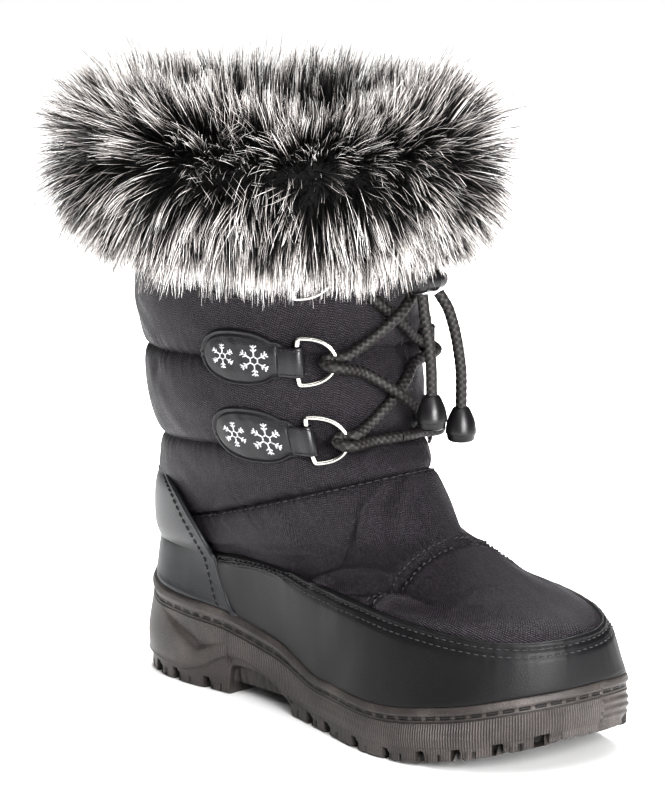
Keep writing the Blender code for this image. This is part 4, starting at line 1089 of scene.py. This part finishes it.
def hair_mesh(name, count, clumps, seed, width, spread, gather, reach_range, tone_range):
    """Flat tapering hairs of five steps, gathered into locks: each point moves by g t^1.4
    towards its lock's own path. Their flat sides face out of the cuff."""
    rng = np.random.default_rng(seed)
    shares = np.linspace(0, 1, 6)
    lock_turn = (np.arange(clumps) + rng.uniform(-0.5, 0.5, clumps)) / clumps
    lock_place = (0.618034 * np.arange(clumps) + rng.uniform(-0.03, 0.03, clumps)) % 1.0
    slow = np.sin(2 * np.pi * (3 * lock_turn + 0.2)) + np.sin(2 * np.pi * (8 * lock_turn + 0.7))
    lock_sway = 0.20 * slow + rng.normal(0, 0.26, clumps)
    lock_reach = rng.uniform(*reach_range, clumps)
    lock_curl = rng.normal(0, 13, clumps)
    lock_tone = rng.uniform(0, 1, clumps)
    guides, _ = hair_path(lock_turn, lock_place, lock_sway, lock_reach, lock_curl, shares)
    own = rng.integers(0, clumps, count)
    turn = lock_turn[own] + rng.normal(0, spread, count) / 0.40
    place = np.clip(lock_place[own] + rng.normal(0, spread, count) / 0.075, 0, 1)
    sway = lock_sway[own] + rng.normal(0, 0.17, count)
    reach = lock_reach[own] * rng.uniform(0.66, 1.08, count)
    curl = lock_curl[own] + rng.normal(0, 10, count)
    paths, core = hair_path(turn, place, sway, reach, curl, shares)
    pull = gather * rng.uniform(0.5, 1.0, count)[:, None, None] * (shares ** 1.4)[None, :, None]
    paths = paths + pull * (guides[own] - paths)
    ahead = np.gradient(paths, axis=1)
    outside = unit(paths[:, 3:4] - core[:, None])
    side = unit(np.cross(ahead, outside + 0.45 * rng.normal(0, 1, (count, 1, 3))))
    taper = (1 - 0.85 * shares ** 1.8)[None, :, None]
    half = width / 2 * taper * rng.uniform(0.7, 1.2, (count, 1, 1))
    grid = np.stack([paths - half * side, paths + half * side], 2)
    each = np.array([[2 * k, 2 * k + 1, 2 * k + 3, 2 * k + 2] for k in range(5)])
    faces = (each[None] + 12 * np.arange(count)[:, None, None]).reshape(-1, 4)
    low, high = tone_range
    tone = low + (high - low) * (0.6 * lock_tone[own] + 0.4 * rng.uniform(0, 1, count))
    both_edges = np.zeros((1, 1, 2))
    uv = np.stack([tone[:, None, None] + both_edges + 0 * shares[None, :, None],
                   shares[None, :, None] + both_edges + 0 * tone[:, None, None]], -1)
    return make_mesh(name, grid, faces, OFBake=uv)


def fur_fibre():
    """Modacrylic fibre, printed and sheared: black at the root, turning pale past a place that
    differs from hair to hair, with a soft shine along it."""
    made, tree = new_material("pile_fibre")
    parts = add_node(tree, "SeparateXYZ", add_node(tree, "UVMap", uv_map="OFBake"))
    shift = add_node(tree, "Math MULTIPLY_ADD", parts.outputs["X"], 0.74, -0.69)
    place = add_node(tree, "Math ADD", parts.outputs["Y"], shift)
    tone = add_node(tree, "ValToRGB", place, stops=[
        (0.0, "#070606"), (0.30, "#0d0c0c"), (0.42, "#2a2727"),
        (0.54, "#a8a29f"), (0.68, "#f6f2ef"), (1.0, "#ffffff")])
    finish_shader(tree, Base_Color=tone, Roughness=0.50, Specular_IOR_Level=0.35)
    return made


def add_cuff():
    """The backing is one closed band whose section is given as metres out of the collar's edge
    and up from it; three coats of hairs cover it, from short and dark to long and pale."""
    fibre = fur_fibre()
    # Dense short pile at the roots, which is black and without shine.
    backing = grained("pile_backing", 500.0, 3.0, [(0.3, "#040303"), (0.7, "#100f0f")], 0.001,
                      Roughness=0.95)
    # Backing: the fabric under the roots and the dense lower pile, out to a third of its length.
    turn = np.arange(160) / 160
    edge, outward, _ = collar_frame(turn)
    rows = []
    for out, up in BACKING:
        rows.append(edge + out * outward + [0.0, 0.0, up])
    grid = np.array(rows)
    mesh = make_mesh("cuff_backing", grid, grid_faces(*grid.shape[:2], True, True), True)
    add_object("cuff_backing", mesh, backing, ["fur_cuff"])
    for name, count, clumps, seed, width, spread, gather, reach_range, tone_range in (
        ("cuff_pile_under", 13000, 1300, 11, 0.00085, 0.0022, 0.45, (0.62, 0.84), (0.00, 0.30)),
        ("cuff_pile_locks", 17000, 1500, 12, 0.00056, 0.0013, 0.72, (0.80, 1.06), (0.10, 1.00)),
        ("cuff_pile_outer", 12000, 1100, 13, 0.00044, 0.0022, 0.50, (0.88, 1.12), (0.20, 1.00)),
    ):
        mesh = hair_mesh(name, count, clumps, seed, width, spread, gather, reach_range, tone_range)
        add_object(name, mesh, fibre, ["fur_cuff"])


add_cuff()


# Ring patches: die-cut ovals of coated fabric with an embossed rim and two printed snowflakes,
# three on each side of the shaft. Each ends in a strap that is folded round its ring's bar.
RING_ROWS = (
    # name, share of the collar's height, turn
    ("top", 0.820, 0.328),
    ("middle", 0.662, 0.328),
    ("lower", 0.520, 0.328),
)
PATCH_LENGTH = 0.046
PATCH_HEIGHT = 0.026
STRAP_HEIGHT = 0.0138
RING_WIRE = 0.0024
RING_HEIGHT = 0.0215
RING_REACH = 0.0165
LOOP_RADIUS = RING_WIRE / 2 + 0.00045 + 0.0012
LOOP_LEAD = 0.0023


def level_at(turn, height):
    """Level of the upper at each turn and height, by halving."""
    turn, height = np.broadcast_arrays(np.asarray(turn, float), np.asarray(height, float))
    low, high = np.full(turn.shape, 2.0), np.full(turn.shape, 16.0)
    for _ in range(26):
        middle = (low + high) / 2
        under = bare_upper(middle, turn)[..., 2] < height
        low, high = np.where(under, middle, low), np.where(under, high, middle)
    return (low + high) / 2


def ring_place(height, turn):
    """Point, forward, up and outward directions and metres per turn at a patch's middle or a
    ring's bar; forward is towards the shin on either side."""
    level = level_at(turn, height)
    here = face_of(level, turn)[0]
    toward = 0.002 if turn < 0.5 else -0.002
    forward = bare_upper(level, np.asarray(turn + toward)) - here
    pace = np.linalg.norm(forward) / abs(toward)
    above = bare_upper(level_at(turn, height + 0.002), np.asarray(turn)) - here
    outward = np.cross(forward, above) if turn < 0.5 else np.cross(above, forward)
    return here, unit(forward), unit(above), unit(outward), pace


def bar_place(height, turn):
    """Middle of a ring's bar, in front of its patch, and the three directions there."""
    pace = ring_place(height, turn)[4]
    side = 1 if turn < 0.5 else -1
    front = turn + side * (PATCH_LENGTH / 2 + LOOP_LEAD) / pace
    here, forward, up, outward, _ = ring_place(height, front)
    return here + (0.0012 + LOOP_RADIUS) * outward, forward, up, outward


def on_patch(height, turn, ahead, rise, out):
    """Points over a patch from metres ahead of its middle, above it and out of the nylon."""
    pace = ring_place(height, turn)[4]
    side = 1 if turn < 0.5 else -1
    there = turn + side * ahead / pace
    here, normal, _ = face_of(level_at(there, height + rise), there)
    return here + np.asarray(out)[..., None] * normal


def patch_half(share):
    """Half height of a patch at a share of its half length: an oval, and in front the strap."""
    there = np.clip((share + 1) / 1.80, 0, 1)
    oval = np.sqrt(np.clip(1 - np.abs(2 * there ** 0.92 - 1) ** 2.35, 0, 1)) * PATCH_HEIGHT / 2
    neck = STRAP_HEIGHT / 2 - 0.0009 + 0.0030 * ease(0.92, 0.66, share)
    return np.where(share > 0.40, np.maximum(oval, neck), oval)


def patch_coating():
    """Polyurethane pressed with a fine leather grain: smoother than the mudguard, so it glints."""
    return grained("patch_coating", 1300.0, 3.0, [(0.30, "#151416"), (0.72, "#232225")], 0.0003, 0.5,
                   Roughness=0.28, Specular_IOR_Level=0.5)


def snowflake(radius):
    """Bars of a six-armed flake as pairs of ends and a width: a ring round its middle, six arms,
    and two pairs of twigs on each arm."""
    def toward(angle):
        """Direction in the patch's plane at this angle."""
        return np.array([np.cos(angle), np.sin(angle)])

    bars = []
    for arm in np.pi / 3 * np.arange(6) + np.pi / 2:
        way = toward(arm)
        bars.append((0.26 * radius * way, 0.26 * radius * toward(arm + np.pi / 3), 0.075 * radius))
        bars.append((0.26 * radius * way, 0.97 * radius * way, 0.085 * radius))
        for at, long in ((0.56, 0.24), (0.78, 0.24)):
            for side in (1, -1):
                tip = at * radius * way + long * radius * toward(arm + side * np.radians(52))
                bars.append((at * radius * way, tip, 0.080 * radius))
    return bars


def patch_out(ahead, rise):
    """Height of a patch's face over the nylon: a plate with a rim, a groove inside the rim, a
    crowned panel, and a crease where the strap begins."""
    share = ahead / (PATCH_LENGTH / 2)
    half = patch_half(share)
    along = np.linspace(-1, 1, 161)
    edge = np.column_stack([along * PATCH_LENGTH / 2, patch_half(along)])
    border = np.concatenate([edge, edge * [1, -1]])
    far = np.hypot(ahead[..., None] - border[:, 0], rise[..., None] - border[:, 1]).min(-1)
    far = np.where(share > 0.93, np.minimum(far, half - np.abs(rise)), far)
    panel = 1 - ease(0.66, 0.72, share)
    out = 0.0022 * ease(-0.0001, 0.0007, far) + 0.0003
    out = out - 0.0008 * hump(far, 0.0021, 0.00042) * panel
    out = out - 0.0008 * hump(share, 0.68, 0.016) * (far > 0.0014)
    out = out + 0.0005 * ease(0.0024, 0.0070, far) * panel
    return out + 0.00012 * ripple(ahead + 0.5 * rise, (0.008, 0.013), 21)


def add_ring_patch(name, height, turn, finish, print_finish):
    """Cover as a grid over the patch's outline, flakes as thin boxes on it, and the strap as a
    band of 7 points across carried along its path round the bar, with a row of stitches at
    either edge."""
    node = f"ring_patch_{name}"
    share = -np.cos(np.linspace(0.02, np.pi - 0.02, 84))
    across = np.sin(np.linspace(-np.pi / 2, np.pi / 2, 47))
    ahead = np.broadcast_to(share[:, None] * PATCH_LENGTH / 2, (84, 47))
    rise = across[None, :] * patch_half(share)[:, None]
    grid = on_patch(height, turn, ahead, rise, patch_out(ahead, rise))
    mesh = make_mesh(node + "_cover", grid, grid_faces(84, 47, False, False), turn > 0.5)
    add_object(node + "_cover", mesh, finish, [node])
    corners = []
    for at, low, radius in ((-0.0105, 0.0002, 0.0058), (0.0048, -0.0006, 0.0075)):
        for first, last, width in snowflake(radius):
            along = (last - first) / np.linalg.norm(last - first)
            side = np.array([-along[1], along[0]]) * width / 2
            corners.append(np.array([first - side, last - side, last + side, first + side]) + [at, low])
    corners = np.array(corners)
    lift = patch_out(corners[..., 0], corners[..., 1])
    ahead, rise = corners[..., 0], corners[..., 1]
    layers = [on_patch(height, turn, ahead, rise, lift + step) for step in (0.00035, -0.0002)]
    box = np.array([[0, 1, 2, 3], [4, 7, 6, 5], [0, 4, 5, 1], [1, 5, 6, 2], [2, 6, 7, 3], [3, 7, 4, 0]])
    faces = (box[None] + 8 * np.arange(len(corners))[:, None, None]).reshape(-1, 4)
    mesh = make_mesh(node + "_flakes", np.concatenate(layers, 1), faces, turn > 0.5)
    add_object(node + "_flakes", mesh, print_finish)
    # Strap: leaves the patch, passes over the ring's bar, turns round it and ends underneath.
    middle, forward, up, outward = bar_place(height, turn)
    angles = np.radians(np.linspace(112, -178, 30))
    bend = LOOP_RADIUS + 0.0002
    path = [(-0.0090, -0.00075), (-0.0065, -0.0002), (-0.0042, 0.0011), (-0.0026, 0.0022)]
    path = np.array(path + [(bend * np.cos(a), bend * np.sin(a)) for a in angles])
    wide = STRAP_HEIGHT / 2 * np.array([-1.0, -0.97, -0.90, 0.0, 0.90, 0.97, 1.0])
    thin = np.array([-0.0007, -0.0002, 0.0, 0.0002, 0.0, -0.0002, -0.0007])
    way = unit(np.gradient(path, axis=0))
    normal = np.column_stack([way[:, 1], -way[:, 0]])
    normal = np.where((normal * (path + [0.0005, 0.0])).sum(1)[:, None] < 0, -normal, normal)
    normal[:4] = [0.0, 1.0]
    offset = path[:, None] + thin[None, :, None] * normal[:, None]
    grid = middle + offset[..., :1] * forward + offset[..., 1:] * outward + wide[None, :, None] * up
    mesh = make_mesh(node + "_strap", grid, grid_faces(*grid.shape[:2], False, False), turn < 0.5)
    add_object(node + "_strap", mesh, finish)
    for side in (1, -1):
        seam = middle + path[:20, :1] * forward + (path[:20, 1:] + 0.0001) * outward
        seam = seam + side * 0.82 * STRAP_HEIGHT / 2 * up
        row = stitch_row(seam, np.repeat(outward[None], 20, 0), 0.0024, 0.0018, 0.0006)
        add_object(f"{node}_stitches_{'up' if side > 0 else 'down'}", make_mesh("strap_stitches", *row),
                   THREAD)


def flake_print():
    """Silver-grey plastisol print: pale, slightly rough and with a weak metallic sheen."""
    return grained("flake_print", 2600.0, 2.0, [(0.30, "#a4a4a7"), (0.65, "#e2e2e5")], 0.0002,
                   Roughness=0.45, Metallic=0.25)


# Rings: bent nickel-plated steel wire, 2.4 mm thick, butt-jointed at the bar. Each is a D with a
# flat bar that its strap holds.
RING_BOW = 0.0006


def nickel():
    """Bright barrel-plated nickel: a warm white mirror with faint wear, which blurs it in places."""
    made, tree = new_material("nickel_wire")
    place = add_node(tree, "TexCoord").outputs["Object"]
    wear = add_node(tree, "TexNoise", {"Vector": place, "Scale": 300.0, "Detail": 4.0})
    rough = add_node(tree, "Math MULTIPLY_ADD", wear, 0.16, 0.10)
    bump = add_node(tree, "Bump", {"Height": wear, "Distance": 0.00008})
    finish_shader(tree, Base_Color=srgb("#dedbd5"), Metallic=1.0, Roughness=rough, Normal=bump)
    return made


def add_ring(name, height, turn, finish):
    """Wire round a D: RING_REACH cos(a)^0.8 ahead of the bar, half its height times sin(a) up,
    with its corners rounded by nine passes of averaging."""
    middle, forward, up, _ = bar_place(height, turn)
    angles = 2 * np.pi * np.arange(96) / 96
    ahead = np.cos(angles)
    depth = np.where(ahead > 0, RING_REACH * np.abs(ahead) ** 0.8, 2 * RING_BOW * ahead)
    rise = RING_HEIGHT / 2 * np.sin(angles)
    line = middle + (RING_BOW * 1.72 + depth)[:, None] * forward + rise[:, None] * up
    for _ in range(9):
        line = (np.roll(line, 1, axis=0) + 2 * line + np.roll(line, -1, axis=0)) / 4
    mesh = tube(f"d_ring_{name}_wire", line, RING_WIRE / 2, 14, closed=True)
    add_object(f"d_ring_{name}_wire", mesh, finish, [f"d_ring_{name}"])


def add_rings_and_patches():
    """A patch and a ring in each row on either side."""
    coating, print_finish, metal = patch_coating(), flake_print(), nickel()
    for row, share, turn in RING_ROWS:
        for side, there in (("outer", turn), ("inner", 1 - turn)):
            add_ring_patch(f"{row}_{side}", COLLAR_HEIGHT * share, there, coating, print_finish)
            add_ring(f"{row}_{side}", COLLAR_HEIGHT * share, there, metal)


add_rings_and_patches()


# Cord: one round braided polyester lace, 5.2 mm thick. It crosses the shin twice between the
# rings; both ends come up through the lock and hang free in front of it.
CORD_DIAMETER = 0.0052
LOCK_CENTRE = np.array([0.1275, 0.0100, 0.2005])
LEFT_END = np.array([
    # x, y, z
    (0.1290, 0.0060, 0.1948),
    (0.1300, 0.0060, 0.1880),
    (0.1330, 0.0065, 0.1730),
    (0.1345, 0.0065, 0.1610),
    (0.1348, 0.0065, 0.1495),
])
RIGHT_END = np.array([
    # x, y, z
    (0.1300, 0.0150, 0.1948),
    (0.1335, 0.0180, 0.1870),
    (0.1370, 0.0205, 0.1700),
    (0.1385, 0.0212, 0.1560),
    (0.1385, 0.0212, 0.1425),
])


def smooth_line(points, spacing):
    """Curve through these points at this spacing, its corners rounded over about 1.5 mm."""
    run = run_along(points)
    where = np.linspace(0, run[-1], max(int(round(run[-1] / spacing)), 2) + 1)
    line = np.column_stack([smooth(run, values, where) for values in points.T])
    for _ in range(int(round(0.0015 / spacing * 6))):
        line[1:-1] = 0.25 * line[:-2] + 0.5 * line[1:-1] + 0.25 * line[2:]
    return line


def braid_mesh(name, line, diameter):
    """Tube whose radius is R (0.95 + 0.08 p), where p is the higher of two crossing families of
    helical strands, cos(4 a + k s) and cos(4 a - k s)."""
    angle = 2 * np.pi * np.arange(32) / 32
    phase = 2 * np.pi * run_along(line)[:, None] / 0.0030
    one, other = np.cos(4 * angle + phase), np.cos(4 * angle - phase)
    over = np.sin(4 * angle) * np.sin(phase) > 0
    height = np.where(over, np.maximum(one, 0.35 * other), np.maximum(other, 0.35 * one))
    radius = diameter / 2 * (0.95 + 0.08 * height)
    # The strands' height is kept as the strand attribute, which the material uses to paint highlight and
    # shade.
    return tube(name, line, radius, 32, strand=(0.5 + 0.5 * height).ravel())


def cord_braid():
    """Textured polyester yarn, braided: dull black, with painted highlight on the raised strands' backs and
    painted shade between them.
    """
    made, tree = new_material("braided_cord")
    strand = add_node(tree, "Attribute", attribute_name="strand").outputs["Fac"]
    place = add_node(tree, "TexCoord").outputs["Object"]
    fibre = add_node(tree, "TexNoise", {"Vector": place, "Scale": 2400.0, "Detail": 2.0})
    # Painted highlight on the raised strands and painted shade between them.
    raised = add_node(tree, "Math MULTIPLY", strand, 0.65)
    mixed = add_node(tree, "Math MULTIPLY_ADD", fibre, 0.35, raised)
    tone = add_node(tree, "ValToRGB", mixed, stops=[(0.28, "#050505"), (0.55, "#171414"), (0.85, "#4a4343")])
    bump = add_node(tree, "Bump", {"Height": mixed, "Distance": 0.0004})
    finish_shader(tree, Base_Color=tone, Roughness=0.55, Normal=bump, Specular_IOR_Level=0.45)
    return made


def lace_line(stops, extra):
    """Zigzag through rings: the upper leg dips under a ring's bow, comes up through the ring and
    leaves over the bow; legs lie on the shin, raised by extra at their middle."""
    points = [LOCK_CENTRE - np.array([0.0085, 0.0, 0.0])]
    before = None
    for row, side in stops:
        share, base = next((s, t) for name, s, t in RING_ROWS if name == row)
        height, turn = COLLAR_HEIGHT * share, base if side == "outer" else 1 - base
        middle, forward, up, outward = bar_place(height, turn)
        pace = ring_place(height, turn)[4]
        ahead = (PATCH_LENGTH / 2 + LOOP_LEAD + RING_REACH + CORD_DIAMETER) / pace
        there = (height, turn + ahead * (1 if side == "outer" else -1))
        if before is not None:
            points += lace_leg(before, there, extra)
        points.append(middle + (RING_REACH + 0.0042) * forward + 0.0010 * up - 0.0006 * outward)
        points.append(middle + (RING_REACH - 0.0014) * forward + 0.0012 * up - 0.0014 * outward)
        points.append(middle + (RING_REACH - 0.0050) * forward - 0.0004 * up + 0.0004 * outward)
        points.append(middle + (RING_REACH - 0.0018) * forward - 0.0020 * up + 0.0034 * outward)
        points.append(middle + (RING_REACH + 0.0030) * forward - 0.0030 * up + 0.0030 * outward)
        before = there
    end = (before[0] - 0.0025, 0.5)
    points += lace_leg((before[0] - 0.0025, before[1]), end, 0.0)[1:4]
    level = level_at(0.5, end[0])
    here, normal, _ = face_of(level, 0.5)
    points.append(here + (CORD_DIAMETER / 2 + 0.0012) * normal)
    return np.array(points)


def lace_leg(start, end, extra):
    """Five points between two places, on the nylon and raised by extra sin^2 at the middle."""
    points = []
    for share in (0.16, 0.33, 0.5, 0.67, 0.84):
        turn = start[1] + (end[1] - start[1]) * share
        height = start[0] + (end[0] - start[0]) * share
        here, normal, _ = face_of(level_at(turn, height), turn)
        out = CORD_DIAMETER / 2 + 0.0010 + extra * np.sin(np.pi * share) ** 2
        points.append(here + out * normal)
    return points


def add_cord():
    """Both crossing laces, and the two free ends with the lines and routes that they follow."""
    braid = cord_braid()
    for name, stops, extra in (
        ("lace_first", (("top", "outer"), ("middle", "inner"), ("lower", "outer")), 0.0),
        ("lace_second", (("top", "inner"), ("middle", "outer"), ("lower", "inner")), 0.0046),
    ):
        line = smooth_line(lace_line(stops, extra), 0.0006)
        add_object(name, braid_mesh(name, line, CORD_DIAMETER), braid, ["lace_crossings"])
    ends = []
    for side, route in (("left", LEFT_END), ("right", RIGHT_END)):
        line = smooth_line(route, 0.0005)
        end = add_object(f"cord_{side}", braid_mesh(f"cord_{side}", line, CORD_DIAMETER), braid,
                         [f"cord_end_{side}"])
        ends.append((end, line, route))
    return ends


cord_ends = add_cord()


# Lock: barrel and button of injection-moulded nylon with a steel spring between them, which
# grips both runs of the cord until the button is pressed in.
def moulded_plastic():
    """Injection-moulded nylon: near black, with the mould's fine spark texture and a soft gleam."""
    made, tree = new_material("moulded_plastic")
    place = add_node(tree, "TexCoord").outputs["Object"]
    grain = add_node(tree, "TexNoise", {"Vector": place, "Scale": 1500.0, "Detail": 2.0})
    cloud = add_node(tree, "TexNoise", {"Vector": place, "Scale": 120.0, "Detail": 3.0})
    tone = add_node(tree, "ValToRGB", cloud, stops=[(0.3, "#0d0c0d"), (0.7, "#1a181a")])
    bump = add_node(tree, "Bump", {"Height": grain, "Distance": 0.00012, "Strength": 0.5})
    rough = add_node(tree, "Math MULTIPLY_ADD", cloud, 0.15, 0.26)
    finish_shader(tree, Base_Color=tone, Roughness=rough, Normal=bump)
    return made


def turned_mesh(name, profile, origin, axis, sides=48):
    """Surface of revolution about an axis through origin, from (distance along it, radius)."""
    first = unit(np.cross(axis, [0.31, 0.23, 0.92]))
    second = np.cross(axis, first)
    angle = 2 * np.pi * np.arange(sides) / sides
    ring = np.cos(angle)[:, None] * first + np.sin(angle)[:, None] * second
    profile = np.array(profile)
    grid = origin + profile[:, :1, None] * axis + profile[:, 1:, None] * ring[None]
    return make_mesh(name, grid, grid_faces(len(profile), sides))


def add_lock():
    """Barrel turned about y: a domed end, a groove in its side, and the narrower button."""
    plastic = moulded_plastic()
    radius, half = 0.00525, 0.0100
    profile = [
        # along, radius
        (-half, 0.0001), (-half, 0.0032), (-half + 0.0006, 0.0044), (-half + 0.0018, radius),
        (-0.0046, radius), (-0.0042, 0.0049), (-0.0036, 0.0049), (-0.0032, radius),
        (0.0040, radius), (0.0046, 0.0046), (0.0052, 0.0041), (0.0085, 0.0041),
        (0.0096, 0.0034), (half, 0.0001),
    ]
    mesh = turned_mesh("lock_barrel", profile, LOCK_CENTRE, np.array([0.0, 1.0, 0.0]))
    add_object("lock_barrel", mesh, plastic, ["cord_lock"], sharp=40)
    return plastic


PLASTIC = add_lock()


# Bells: moulded ends of the lock's own plastic, pressed over the cord's tips, with a step near
# the base. Each hangs along its cord, leaning back to straight down.
BELL_RADIUS, BELL_LENGTH = 0.0070, 0.0155
BELL_PROFILE = (
    # share of length down, share of radius
    (0.000, 0.30), (0.000, 0.46), (0.030, 0.54), (0.100, 0.62), (0.220, 0.745),
    (0.350, 0.86), (0.480, 0.935), (0.620, 0.98), (0.730, 1.00), (0.760, 0.985),
    (0.772, 0.925), (0.790, 0.915), (0.880, 0.90), (0.950, 0.85), (0.990, 0.74),
    (1.000, 0.60), (0.985, 0.42), (0.980, 0.02),
)


def add_bells():
    """A turned bell at each free end of the cord."""
    for (end, line, route), side in zip(cord_ends, ("left", "right")):
        axis = unit(0.35 * unit(line[-1] - line[-8]) + 0.65 * np.array([0.0, 0.0, -1.0]))
        profile = [(BELL_LENGTH * down, BELL_RADIUS * share) for down, share in BELL_PROFILE]
        mesh = turned_mesh(f"cord_bell_{side}", profile, line[-1] - 0.0004 * axis, axis)
        bell = add_object(f"cord_bell_{side}", mesh, PLASTIC, [f"bell_{side}"],
                          sharp=32)


add_bells()


# Floor and light: pale paper under a broad overhead light, a soft window before the toe, a small
# light above the instep and a dim room.
def add_stage():
    """Matt paper that fills the view, two area lights turned to the boot and a broad sun."""
    mesh = make_mesh("floor", np.array([(-8, -8, 0), (8, -8, 0), (8, 8, 0), (-8, 8, 0)], float),
                     np.array([[0, 1, 2, 3]]))
    floor = bpy.data.objects.new("floor", mesh)
    bpy.context.scene.collection.objects.link(floor)
    made, tree = new_material("floor_paper")
    finish_shader(tree, Base_Color=srgb("#fafafa"), Roughness=0.9, Specular_IOR_Level=0.2)
    mesh.materials.append(made)
    target = np.array([0.08, 0.0, 0.12])
    for name, place, size, power in (
        ("window", (1.45, -0.44, 0.50), 0.7, 44.0),
        ("above", (-0.50, 0.48, 1.30), 0.6, 48.0),
    ):
        data = bpy.data.lights.new(name, "AREA")
        data.size = size
        data.energy = power
        light = bpy.data.objects.new(name, data)
        light.location = place
        aim = target - np.array(place)
        turn = np.arctan2(aim[1], aim[0]) - np.pi / 2
        light.rotation_euler = (np.pi / 2 + np.arcsin(aim[2] / np.linalg.norm(aim)), 0.0, turn)
        bpy.context.scene.collection.objects.link(light)
    data = bpy.data.lights.new("overhead", "SUN")
    data.energy = 2.85
    data.angle = np.radians(70)
    light = bpy.data.objects.new("overhead", data)
    light.rotation_euler = (np.radians(14), np.radians(10), 0.0)
    bpy.context.scene.collection.objects.link(light)
    world = bpy.data.worlds.new("room")
    world.use_nodes = True
    world.node_tree.nodes["Background"].inputs[0].default_value = srgb("#ffffff")
    world.node_tree.nodes["Background"].inputs[1].default_value = 0.16
    bpy.context.scene.world = world
    bpy.context.scene.view_settings.view_transform = "Standard"
    bpy.context.scene.view_settings.gamma = 0.82


add_stage()
